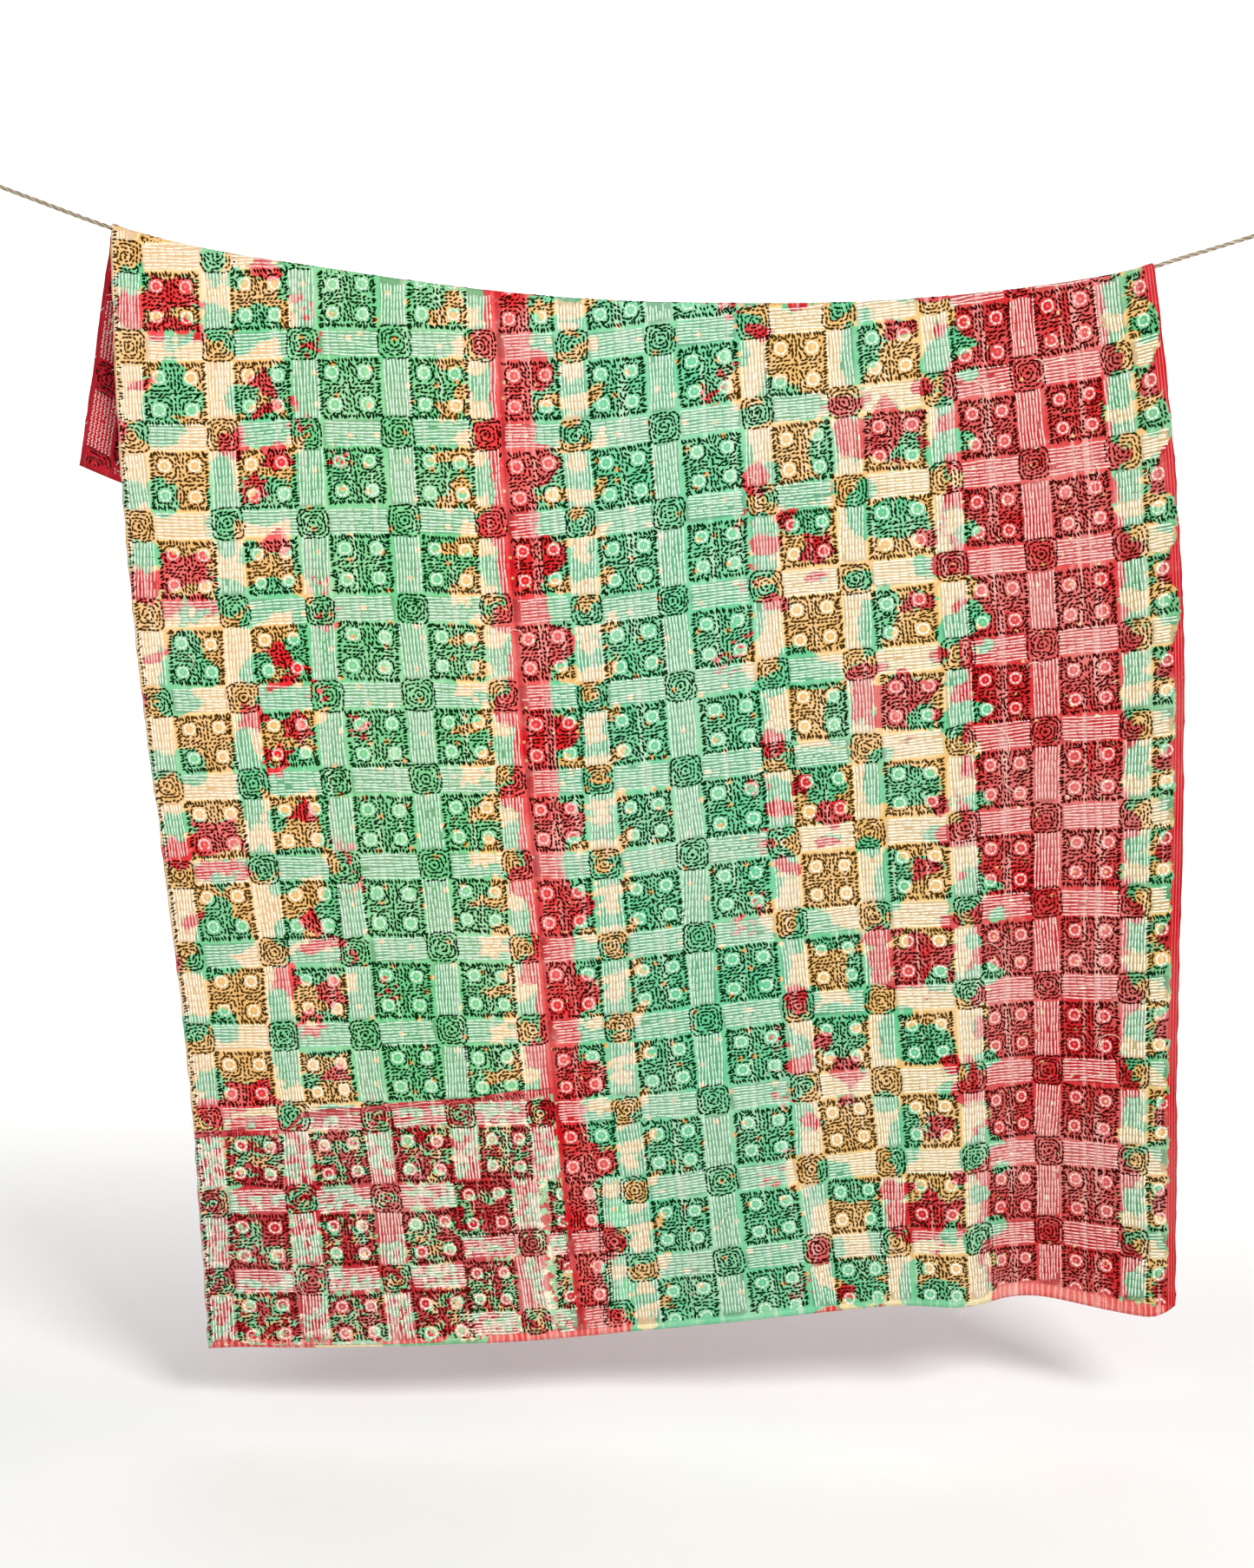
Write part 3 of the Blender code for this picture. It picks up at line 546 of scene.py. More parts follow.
class Finish:
    """A material in the making, with short calls for its nodes."""

    def __init__(self, name):
        self.material = bpy.data.materials.new(name)
        self.material.use_nodes = True
        self.tree = self.material.node_tree
        self.shader = self.tree.nodes["Principled BSDF"]

    def node(self, kind, **settings):
        node = self.tree.nodes.new(kind)
        for name, value in settings.items():
            setattr(node, name, value)
        return node

    def feed(self, value, socket):
        if isinstance(value, bpy.types.NodeSocket):
            self.tree.links.new(value, socket)
        else:
            socket.default_value = value

    def attribute(self, name, output="Vector"):
        return self.node("ShaderNodeAttribute", attribute_name=name).outputs[output]

    def math(self, operation, first, second=0.0, third=0.0):
        node = self.node("ShaderNodeMath", operation=operation)
        self.feed(first, node.inputs[0])
        self.feed(second, node.inputs[1])
        self.feed(third, node.inputs[2])
        return node.outputs[0]

    def steps(self, value, low, high, to_low=0.0, to_high=1.0):
        node = self.node("ShaderNodeMapRange", interpolation_type="SMOOTHSTEP")
        for number, given in enumerate((value, low, high, to_low, to_high)):
            self.feed(given, node.inputs[number])
        return node.outputs[0]

    def mix(self, share, first, second, blend="MIX"):
        node = self.node("ShaderNodeMix", data_type="RGBA", blend_type=blend)
        self.feed(share, node.inputs[0])
        self.feed(first, node.inputs[6])
        self.feed(second, node.inputs[7])
        return node.outputs[2]

    def scaled(self, vector, scale):
        node = self.node("ShaderNodeVectorMath", operation="MULTIPLY")
        self.feed(vector, node.inputs[0])
        node.inputs[1].default_value = scale
        return node.outputs[0]

    def apart(self, vector):
        node = self.node("ShaderNodeSeparateXYZ")
        self.feed(vector, node.inputs[0])
        return node.outputs[0], node.outputs[1], node.outputs[2]

    def noise(self, vector, scale, detail=2.0, rough=0.5, dimensions="3D"):
        node = self.node("ShaderNodeTexNoise", noise_dimensions=dimensions)
        socket = node.inputs["W"] if dimensions == "1D" else node.inputs["Vector"]
        self.feed(vector, socket)
        node.inputs["Scale"].default_value = scale
        node.inputs["Detail"].default_value = detail
        node.inputs["Roughness"].default_value = rough
        return node.outputs[0]

    def bump(self, height, strength, distance, onto=None):
        node = self.node("ShaderNodeBump")
        node.inputs["Strength"].default_value = strength
        node.inputs["Distance"].default_value = distance
        self.feed(height, node.inputs["Height"])
        if onto is not None:
            self.feed(onto, node.inputs["Normal"])
        return node.outputs[0]

    def done(self, colour, roughness, normal=None, **sockets):
        self.feed(colour, self.shader.inputs["Base Color"])
        self.feed(roughness, self.shader.inputs["Roughness"])
        if normal is not None:
            self.feed(normal, self.shader.inputs["Normal"])
        for name, value in sockets.items():
            self.shader.inputs[name.replace("_", " ")].default_value = value
        return self.material


YARNS_A_CELL = 150.0
TWISTS_A_CELL = 110.0
PRINT_INKS = {"ground": (114, 202, 150), "tan": (255, 224, 168), "red": (224, 40, 46)}
PRINT_DARKS = {"ground": (0, 50, 12), "tan": (88, 58, 2), "red": (74, 8, 0)}
PRINT_PALES = {"ground": (216, 240, 220), "tan": (255, 248, 226), "red": (246, 202, 196)}
PRINT_MOTTLE = 0.16
PATCH_MOTTLE = 1.0
PATCH_INKS = {"ground": (142, 200, 160), "tan": (244, 226, 206), "red": (194, 30, 44)}
PATCH_DARKS = {"ground": (10, 56, 16), "tan": (92, 34, 14), "red": (84, 10, 0)}
PATCH_PALES = {"ground": (232, 248, 230), "tan": (255, 244, 232), "red": (255, 216, 208)}

# Tint of the cloth at its left edge, and where across it turns to the next tints
FIRST_TINT = (255, 255, 250)
TINTS = (
    (1.7, 2.1, (255, 252, 236)), (3.9, 5.2, (238, 250, 255)), (6.9, 7.6, (230, 242, 240)),
    (10.95, 11.05, (212, 222, 208)),
)


def ink_masks(finish, mottle):
    """Shares of tan and red ink at a place, with edges as rough as block printing leaves them."""
    tan, red, dotted = finish.apart(finish.attribute("inks"))
    place = finish.attribute("place")
    rough = finish.math("MULTIPLY_ADD", finish.noise(place, 26.0), 0.05, -0.025)
    petals = finish.noise(place, 8.0, 3.0, 0.6)
    petals = finish.math("MULTIPLY_ADD", petals, mottle, -mottle / 2)
    leaves = finish.noise(finish.scaled(place, (-1.0, 1.0, 1.0)), 7.0, 3.0, 0.6)
    leaves = finish.math("MULTIPLY_ADD", leaves, mottle, -mottle / 2)
    tan = finish.math("ADD", finish.math("ADD", tan, petals), rough)
    red = finish.math("ADD", finish.math("ADD", red, leaves), rough)
    tan = finish.steps(tan, -0.008, 0.008)
    red = finish.steps(red, -0.008, 0.008)
    dots = finish.node("ShaderNodeTexVoronoi", voronoi_dimensions="2D")
    finish.feed(place, dots.inputs["Vector"])
    dots.inputs["Scale"].default_value = 2.9
    dots.inputs["Randomness"].default_value = 0.75
    distance = finish.math("MULTIPLY_ADD", red, 0.035, dots.outputs["Distance"])
    dot = finish.steps(distance, 0.105, 0.075)
    dot = finish.math("MULTIPLY", dot, dotted)
    return finish.math("MAXIMUM", tan, dot), finish.math("SUBTRACT", red, dot), place


def three_inks(finish, colours, tan, red):
    """Colour of the ground with tan and red ink over it."""
    ground = finish.mix(tan, paint(*colours["ground"]), paint(*colours["tan"]))
    return finish.mix(red, ground, paint(*colours["red"]))


def dyed_edges(finish, colour, across, along, red):
    """Deep red by the seam and on the right strip, faded red on the hem. Gives hem and strip too."""
    off_seam = finish.math("ABSOLUTE", finish.math("SUBTRACT", across, SEAM_CELLS + 0.02))
    on_strip = finish.steps(across, STRIP_START - 0.01, STRIP_START + 0.01)
    border = finish.math("ADD", finish.steps(off_seam, 0.045, 0.03), on_strip)
    colour = finish.mix(finish.math("MULTIPLY", border, red), colour, paint(214, 8, 32))
    hem = finish.math("MULTIPLY", finish.steps(along, 0.17, 0.14), red)
    colour = finish.mix(finish.math("MULTIPLY", hem, 0.6), colour, paint(218, 66, 62))
    return colour, hem, finish.math("MULTIPLY", on_strip, red)


def faded(finish, colour, place, across):
    """Places that washing has bleached or left deep, and broken pale yarns that run up the cloth."""
    fade = finish.noise(place, 0.9, 4.0, 0.6)
    colour = finish.mix(finish.steps(fade, 0.35, 0.7, 0.0, 0.22), colour, paint(250, 238, 224))
    wear = finish.noise(place, 7.0, 3.0, 0.6)
    colour = finish.mix(finish.steps(wear, 0.55, 0.75, 0.0, 0.20), colour, paint(252, 240, 226))
    deep = finish.steps(finish.noise(place, 2.2, 3.0, 0.6), 0.55, 0.8, 0.0, 0.30)
    colour = finish.mix(deep, colour, colour, "MULTIPLY")
    yarns = finish.noise(across, 7.5, 2.0, 0.6, "1D")
    broken = finish.noise(finish.scaled(place, (9.0, 1.4, 1.0)), 1.0, 2.0)
    pale = finish.math("MULTIPLY", finish.steps(yarns, 0.56, 0.62), finish.steps(broken, 0.35, 0.6))
    colour = finish.mix(finish.math("MULTIPLY", pale, 0.30), colour, paint(255, 248, 236))
    return colour, wear


def woven_edges(finish, colour, place, across, hem, strip):
    """Wavering pale stripes of the hem, and thin ribs along the strip of the right edge."""
    wavering = finish.math("MULTIPLY", across, 84.0)
    wavering = finish.math("MULTIPLY_ADD", finish.noise(place, 3.0), 9.0, wavering)
    stripes = finish.math("MULTIPLY", finish.steps(finish.math("SINE", wavering), 0.2, 0.8), hem)
    colour = finish.mix(finish.math("MULTIPLY", stripes, 0.45), colour, paint(250, 196, 180))
    colour = finish.mix(finish.math("MULTIPLY", strip, 0.8), colour, paint(170, 0, 18))
    ribs = finish.steps(finish.math("SINE", finish.math("MULTIPLY", across, 190.0)), 0.3, 0.9)
    ribs = finish.math("MULTIPLY", finish.math("MULTIPLY", ribs, strip), 0.28)
    return finish.mix(ribs, colour, paint(250, 170, 164))


def plain_weave(finish, across, along):
    """Height of a plain weave."""
    warp = finish.math("SINE", finish.math("MULTIPLY", across, 2.0 * math.pi * YARNS_A_CELL))
    weft = finish.math("SINE", finish.math("MULTIPLY", along, 2.0 * math.pi * YARNS_A_CELL))
    return finish.math("MULTIPLY", warp, weft)


def printed_cloth(name, colours, mottle):
    """Thin cotton, block printed, faded in patches, with paler yarns and swells between stitches.
    Its ground is darkened inside the dark figures, partly for the dark thread that shows through and
    partly as painted shade between the stitches, and darkened between the rows of the pale bars as
    painted shade.
    """
    finish = Finish(name)
    tan, red, place = ink_masks(finish, mottle)
    colour = three_inks(finish, colours, tan, red)
    across, along, _ = finish.apart(place)
    tint = paint(*FIRST_TINT)
    for low, high, seen in TINTS:
        tint = finish.mix(finish.steps(across, low, high), tint, paint(*seen))
    colour = finish.mix(1.0, colour, tint, "MULTIPLY")
    dark, pale_bar, _ = finish.apart(finish.attribute("figures"))
    dark = finish.steps(dark, -0.01, 0.02)
    pale_bar = finish.steps(pale_bar, -0.01, 0.02)
    gold = finish.math("MULTIPLY", finish.math("MULTIPLY", dark, tan), 0.70)
    gold = finish.math("MULTIPLY", gold, finish.math("SUBTRACT", 1.0, red))
    colour = finish.mix(gold, colour, paint(216, 166, 88))
    colour, hem, strip = dyed_edges(finish, colour, across, along, red)
    colour, wear = faded(finish, colour, place, across)
    colour = woven_edges(finish, colour, place, across, hem, strip)
    # Partly painted shade: the ground inside the dark figures is darkened, for the dark thread that
    # shows through and for the shade between its stitches.
    colour = finish.mix(finish.math("MULTIPLY", dark, 0.26), colour, colour, "MULTIPLY")
    # Painted shade: the ground between the pale rows of the bars is darkened towards grey, as the
    # shade in the valleys between the rows.
    pale_bar = finish.math("MULTIPLY", pale_bar, 0.8)
    colour = finish.mix(pale_bar, colour, paint(204, 186, 188), "MULTIPLY")
    p, q, _ = finish.apart(finish.attribute("quilting"))
    gather = finish.noise(finish.scaled(place, (26.0, 26.0, 1.0)), 1.0, 3.0, 0.6)
    rows = finish.math("ADD", finish.math("SINE", finish.math("MULTIPLY", p, 161.0)),
                       finish.math("SINE", finish.math("MULTIPLY", q, 161.0)))
    relief = finish.math("MULTIPLY_ADD", rows, 0.12, gather)
    normal = finish.bump(relief, 0.55, 0.0022)
    normal = finish.bump(plain_weave(finish, across, along), 0.10, 0.0002, normal)
    return finish.done(
        colour, finish.steps(wear, 0.3, 0.8, 0.80, 0.95), normal,
        Sheen_Weight=0.04, Sheen_Roughness=0.5, Specular_IOR_Level=0.06,
    )


def twisted(finish, place):
    """Bump of the twist of sewing thread."""
    across, along, _ = finish.apart(place)
    twist = finish.math("MULTIPLY", finish.math("ADD", across, along), 2.0 * math.pi * TWISTS_A_CELL)
    return finish.bump(finish.math("SINE", twist), 0.25, 0.0002)


def running_thread(name, darks, pales, mottle):
    """Cotton thread that is dark or pale, and takes some colour of the print under it."""
    finish = Finish(name)
    tan, red, place = ink_masks(finish, mottle)
    dark = three_inks(finish, darks, tan, red)
    pale = three_inks(finish, pales, tan, red)
    kind, shade, _ = finish.apart(finish.attribute("thread"))
    colour = finish.mix(kind, dark, pale)
    colour = finish.mix(finish.steps(shade, 0.6, 1.0, 0.0, 0.35), colour, colour, "MULTIPLY")
    return finish.done(
        colour, finish.steps(shade, 0.0, 1.0, 0.72, 0.88), twisted(finish, place),
        Specular_IOR_Level=0.05,
    )


def backing_cotton():
    """Crimson cotton of the reverse, faded unevenly and streaked along its yarns."""
    finish = Finish("crimson backing cotton")
    place = finish.attribute("place")
    across, along, _ = finish.apart(place)
    fade = finish.noise(place, 0.8, 4.0, 0.6)
    colour = finish.mix(finish.steps(fade, 0.35, 0.7), paint(160, 8, 26), paint(192, 32, 46))
    streak = finish.noise(finish.scaled(place, (40.0, 2.0, 1.0)), 1.0, 2.0)
    colour = finish.mix(finish.steps(streak, 0.5, 0.75, 0.0, 0.25), colour, paint(222, 92, 92))
    stain = finish.noise(place, 2.6, 3.0, 0.65)
    colour = finish.mix(finish.steps(stain, 0.55, 0.8, 0.0, 0.5), colour, paint(120, 10, 26))
    gather = finish.noise(finish.scaled(place, (22.0, 22.0, 1.0)), 1.0, 3.0, 0.6)
    normal = finish.bump(gather, 0.55, 0.0022)
    normal = finish.bump(plain_weave(finish, across, along), 0.10, 0.0002, normal)
    return finish.done(
        colour, finish.steps(fade, 0.3, 0.7, 0.82, 0.94), normal,
        Sheen_Weight=0.06, Sheen_Roughness=0.5, Specular_IOR_Level=0.12,
    )


def reverse_thread():
    """Cotton thread of the reverse, crimson or nearly white."""
    finish = Finish("reverse running thread")
    kind, shade, _ = finish.apart(finish.attribute("thread"))
    colour = finish.mix(kind, paint(60, 2, 8), paint(255, 230, 222))
    colour = finish.mix(finish.steps(shade, 0.3, 1.0, 0.0, 0.2), colour, paint(214, 120, 112))
    return finish.done(
        colour, finish.steps(shade, 0.0, 1.0, 0.72, 0.88),
        twisted(finish, finish.attribute("place")), Specular_IOR_Level=0.05,
    )


def rope_fibre():
    """Laid cotton rope, beige, greyed by handling, with painted shade in the grooves between its
    strands.
    """
    finish = Finish("laid beige rope")
    place = finish.node("ShaderNodeTexCoord").outputs["Object"]
    soft = finish.noise(place, 60.0, 3.0, 0.6)
    colour = finish.mix(finish.steps(soft, 0.35, 0.7), paint(200, 184, 160), paint(164, 150, 130))
    fibres = finish.noise(finish.scaled(place, (500.0, 1400.0, 1400.0)), 1.0, 3.0, 0.6)
    colour = finish.mix(finish.steps(fibres, 0.45, 0.7, 0.0, 0.5), colour, paint(116, 102, 84))
    # Painted shade: the grooves between the strands are darkened towards brown-grey.
    painted_groove_shade = finish.math("MULTIPLY", finish.attribute("painted_groove_shade"), 0.85)
    colour = finish.mix(painted_groove_shade, colour, paint(92, 80, 64))
    normal = finish.bump(fibres, 0.45, 0.0006)
    return finish.done(colour, finish.steps(soft, 0.3, 0.7, 0.78, 0.92), normal, Sheen_Weight=0.2)


def eye_steel():
    """Zinc plated steel, brushed, dulled and spotted."""
    finish = Finish("plated steel")
    place = finish.node("ShaderNodeTexCoord").outputs["Object"]
    brushed = finish.noise(finish.scaled(place, (300.0, 4000.0, 300.0)), 1.0, 2.0)
    spots = finish.noise(place, 420.0, 4.0, 0.65)
    dull = finish.noise(place, 70.0, 3.0, 0.6)
    colour = finish.mix(finish.steps(dull, 0.35, 0.7), paint(196, 196, 192), paint(150, 148, 142))
    colour = finish.mix(finish.steps(spots, 0.62, 0.75, 0.0, 0.7), colour, paint(104, 92, 76))
    normal = finish.bump(brushed, 0.12, 0.0003)
    rough = finish.math("ADD", finish.steps(dull, 0.3, 0.7, 0.26, 0.44),
                        finish.steps(spots, 0.6, 0.8, 0.0, 0.25))
    return finish.done(colour, rough, normal, Metallic=1.0)


def pale_plaster(name, tone):
    """Matt floor paint with slight unevenness."""
    finish = Finish(name)
    place = finish.node("ShaderNodeTexCoord").outputs["Object"]
    worn = finish.noise(place, 1.4, 5.0, 0.6)
    colour = finish.mix(finish.steps(worn, 0.3, 0.8), paint(*tone), paint(*(t - 5 for t in tone)))
    return finish.done(colour, finish.steps(worn, 0.3, 0.8, 0.7, 0.9))


# Camera and rope
def put(name, mesh, material):
    """Links a finished mesh as a piece that rides on the body."""
    piece = bpy.data.objects.new(name, mesh)
    bpy.context.scene.collection.objects.link(piece)
    mesh.materials.clear()
    mesh.materials.append(material)
    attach(piece, "root")
    return piece


CAMERA_PLACE = (0.99, -3.2555, -0.4248)
CAMERA_TILT = 81.7


def make_camera():
    data = bpy.data.cameras.new("quilt camera")
    data.lens = 50.0
    data.sensor_width = 36.0
    data.sensor_fit = "AUTO"
    data.clip_end = 50.0
    camera = bpy.data.objects.new("quilt camera", data)
    camera.location = CAMERA_PLACE
    camera.rotation_euler = (math.radians(CAMERA_TILT), 0.0, 0.0)
    bpy.context.scene.collection.objects.link(camera)
    bpy.context.scene.camera = camera


def distances(points):
    """How far along a route each of its points lies."""
    return np.concatenate([[0.0], np.cumsum(np.linalg.norm(np.diff(points, axis=0), axis=1))])


def add_line(data, points):
    """Adds a route of straight stretches to a curve."""
    line = data.splines.new("POLY")
    line.points.add(len(points) - 1)
    flat = np.concatenate([points, np.ones((len(points), 1))], axis=1)
    line.points.foreach_set("co", flat.ravel())


def laid_strands(points, radius, pitch):
    """Three strands laid round a route, as one mesh."""
    points = np.array(points, dtype=float)
    along = distances(points)
    tangents = np.gradient(points, axis=0)
    tangents /= np.linalg.norm(tangents, axis=1, keepdims=True)
    side = np.cross(tangents[0], (0.0, 0.0, 1.0))
    if np.linalg.norm(side) < 0.1:
        side = np.cross(tangents[0], (0.0, 1.0, 0.0))
    sides = []
    for tangent in tangents:
        side = side - tangent * np.dot(side, tangent)
        side = side / np.linalg.norm(side)
        sides.append(side)
    sides = np.array(sides)
    ups = np.cross(tangents, sides)
    data = bpy.data.curves.new("strands", "CURVE")
    data.dimensions = "3D"
    data.bevel_depth = radius * 0.58
    data.bevel_resolution = 1
    data.use_fill_caps = True
    for strand in range(3):
        turn = 2.0 * math.pi * (along / pitch + strand / 3.0)
        place = points + 0.57 * radius * (
            sides * np.cos(turn)[:, None] + ups * np.sin(turn)[:, None]
        )
        add_line(data, place)
    return curve_mesh(data)


def curve_mesh(data):
    """Plain mesh of a curve."""
    holder = bpy.data.objects.new("curve holder", data)
    bpy.context.scene.collection.objects.link(holder)
    bpy.context.view_layer.update()
    evaluated = holder.evaluated_get(bpy.context.evaluated_depsgraph_get())
    mesh = bpy.data.meshes.new_from_object(evaluated)
    bpy.data.objects.remove(holder, do_unlink=True)
    mesh.shade_smooth()
    return mesh


def resampled(points, step):
    """Points of the same route at about equal steps."""
    points = np.array(points, dtype=float)
    along = distances(points)
    count = max(2, int(round(along[-1] / step)) + 1)
    places = np.linspace(0.0, along[-1], count)
    return np.stack([np.interp(places, along, points[:, axis]) for axis in range(3)], axis=1)


def make_rope(material):
    """The rope between its hitches, with painted shade in the grooves between its strands."""
    x = np.linspace(ROPE_ROUTE[0][0] + GAP, ROPE_ROUTE[-1][0] - GAP, 400)
    route = resampled(np.stack([x, np.zeros_like(x), rope_height(x)], axis=1), 0.0019)
    mesh = laid_strands(route, ROPE_RADIUS, ROPE_LAY)
    co = np.empty(len(mesh.vertices) * 3)
    mesh.vertices.foreach_get("co", co)
    co = co.reshape(-1, 3)
    # Painted shade: points nearer the rope's middle line, in the grooves between strands, get a
    # larger share of darkening.
    off_centre = np.hypot(co[:, 1], co[:, 2] - rope_height(co[:, 0]))
    depth = (1.12 * ROPE_RADIUS - off_centre) / (0.4 * ROPE_RADIUS)
    add_vectors(mesh, "painted_groove_shade", np.repeat(np.clip(depth, 0.0, 1.0)[:, None], 3, axis=1))
    rope = put("laid_rope", mesh, material)
    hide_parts("hanging_rope")


def loop_route():
    """Loop through the ring, with its two legs in the knot."""
    legs = ((KNOT_END, 0.0012), (KNOT_START + 0.003, LOOP_NECK), (0.0180, LOOP_RADIUS * 0.96))
    route = [(x, y, 0.0) for x, y in legs]
    for angle in np.linspace(math.pi / 2, 3 * math.pi / 2, 15):
        x = EYE_RADIUS + LOOP_RADIUS * math.cos(angle)
        route.append((x, LOOP_RADIUS * math.sin(angle), 0.0))
    return route + [(x, -y, 0.0) for x, y in reversed(legs)]


def binding_route():
    """Turns round the two legs, and the tail that hangs from the last one."""
    route = []
    for angle in np.linspace(0.0, 2 * math.pi * KNOT_TURNS, 24 * KNOT_TURNS):
        share = angle / (2 * math.pi * KNOT_TURNS)
        x = KNOT_START + 0.0030 + (KNOT_END - KNOT_START - 0.0062) * share
        route.append((x, TURN_RADIUS * math.cos(angle), TURN_RADIUS * math.sin(angle)))
    down = Vector((0.35, 0.45, -0.82)).normalized()
    start = Vector(route[-1])
    return route + [tuple(start + down * reach) for reach in (0.004, 0.009, 0.014, 0.019)]


def make_hitches(material):
    """Each end of the rope: a loop through the eye, bound by turns of its own tail."""
    half_turn = Matrix.Rotation(math.pi, 4, "Z")
    places = (
        ("left", Matrix.Identity(4), LEFT_SLOPE),
        ("right", Matrix.Translation(RIGHT_PLATE) @ half_turn, RIGHT_SLOPE),
    )
    for side, place, slope in places:
        lean = Matrix.Rotation(math.atan(slope), 4, "Y")
        to_eye = place @ Matrix.Translation((EYE_REACH, 0.0, 0.0)) @ lean
        bm = bmesh.new()
        for route in (loop_route(), binding_route()):
            mesh = laid_strands(resampled(route, 0.0011), ROPE_RADIUS, ROPE_LAY)
            bm.from_mesh(mesh)
            bpy.data.meshes.remove(mesh)
        bm.transform(to_eye)
        mesh = bpy.data.meshes.new(side + "_hitch")
        bm.to_mesh(mesh)
        bm.free()
        mesh.shade_smooth()
        hitch = put(side + "_hitch", mesh, material)
        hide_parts("rope_hitch_" + side)


# Cloths
FRONT_ROWS = 226
ARC_ROWS = 12
FLAP_ROWS = 60
BACKING_COLUMNS = 90
BACKING_FRONT_ROWS = 92
BACKING_FLAP_ROWS = 26
PATCH_COLUMNS = 129
PATCH_ROWS = 85


def add_vectors(mesh, name, values):
    layer = mesh.attributes.new(name, "FLOAT_VECTOR", "POINT")
    layer.data.foreach_set("vector", np.ascontiguousarray(values, dtype=np.float32).ravel())


def paired(first, second):
    """Two values a point as vectors with 0 for their third."""
    return np.stack([first, second, np.zeros_like(first)], axis=1)


def grid_mesh(name, columns, row_count):
    """Flat grid, with the column and the row number of each of its points."""
    bm = bmesh.new()
    bmesh.ops.create_grid(bm, x_segments=len(columns) - 1, y_segments=row_count - 1, size=1.0)
    mesh = bpy.data.meshes.new(name)
    bm.to_mesh(mesh)
    bm.free()
    flat = np.empty(len(mesh.vertices) * 3, dtype=np.float32)
    mesh.vertices.foreach_get("co", flat)
    flat = flat.reshape(-1, 3)
    column = np.rint((flat[:, 0] + 1.0) / 2.0 * (len(columns) - 1)).astype(int)
    row = np.rint((flat[:, 1] + 1.0) / 2.0 * (row_count - 1)).astype(int)
    return mesh, np.asarray(columns)[column], row


def stage_rows(front, arc, flap):
    """Stages of the rows of a grid: 0 front hem, 1 rope, 2 behind the rope, 3 flap hem."""
    return np.concatenate([
        np.linspace(0.0, 1.0, front + 1), np.linspace(1.0, 2.0, arc + 1)[1:],
        np.linspace(2.0, 3.0, flap + 1)[1:],
    ])


def stage_place(u, stage):
    """Cells up the cloth at a stage."""
    v = np.clip(stage, 0.0, 1.0) * lines["drop_cells"](u)
    v = v + np.clip(stage - 1.0, 0.0, 1.0) * ARC_CELLS
    return v + np.clip(stage - 2.0, 0.0, 1.0) * lines["flap_cells"](u)


def thicken(piece, thickness, side):
    """Gives a sheet its thickness, outwards with side 1 and inwards with side -1."""
    wall = piece.modifiers.new("cloth thickness", "SOLIDIFY")
    wall.thickness = thickness
    wall.offset = side


def finish_cloth(mesh, u, v, lift, ink_values):
    """Moves a flat grid onto the hanging surface and stores what its material reads."""
    points, _ = surface(u, v, lift)
    mesh.vertices.foreach_set("co", points.astype(np.float32).ravel())
    add_vectors(mesh, "place", paired(u, v))
    add_vectors(mesh, "quilting", paired(*quilting_places(u, v)))
    add_vectors(mesh, "figures", paired(*figure_depths(u, v)))
    if ink_values is not None:
        add_vectors(mesh, "inks", ink_values)
    mesh.update()
    mesh.shade_smooth()


def ragged(u, v, low, high):
    """Edges that wander a little, as hand cut and much washed cloth has."""
    near_low = np.clip(1.0 - (u - low) / 0.3, 0.0, 1.0)
    near_high = np.clip(1.0 - (high - u) / 0.3, 0.0, 1.0)
    wander = 0.014 * value_noise(v * 2.3, v * 0.0, 41) + 0.008 * value_noise(v * 7.0, v * 0.0, 42)
    return u + np.abs(wander) * near_low - np.abs(wander) * near_high


def round_corner(u, v):
    """Cells up, raised at the lower right corner of the quilt, which is worn round."""
    return v + 0.17 * np.clip((u - 11.25) / 0.4, 0.0, 1.0) ** 2 * np.clip(1.0 - v / 0.4, 0.0, 1.0)


# Places across that stand for a side without an edge of its own, because a seam runs along it
NO_LEFT_EDGE = -9.0
NO_RIGHT_EDGE = 99.0


def make_face(name, low, high, columns, material):
    """One printed panel, between two places across."""
    stages = stage_rows(FRONT_ROWS, ARC_ROWS, FLAP_ROWS)
    mesh, u, row = grid_mesh(name, np.linspace(low, high, columns + 1), len(stages))
    v = stage_place(u, stages[row])
    outer_low = low if low < 1.0 else NO_LEFT_EDGE
    outer_high = high if high > 11.0 else NO_RIGHT_EDGE
    u = ragged(u, v, outer_low, outer_high)
    v = round_corner(u, v)
    finish_cloth(mesh, u, v, GAP / 2 + puff(u, v), inks(u, v))
    piece = put(name, mesh, material)
    thicken(piece, CLOTH_THICKNESS, 1.0)
    return piece


def make_backing(material):
    """The plain reverse of the whole quilt."""
    stages = stage_rows(BACKING_FRONT_ROWS, ARC_ROWS, BACKING_FLAP_ROWS)
    across = np.linspace(0.0, WIDTH_CELLS, BACKING_COLUMNS + 1)
    mesh, u, row = grid_mesh("backing_sheet", across, len(stages))
    v = stage_place(u, stages[row])
    u = ragged(u, v, 0.0, WIDTH_CELLS)
    v = round_corner(u, v)
    finish_cloth(mesh, u, v, np.full(u.shape, -GAP / 2), None)
    piece = put("backing_sheet", mesh, material)
    thicken(piece, CLOTH_THICKNESS, -1.0)
    return piece


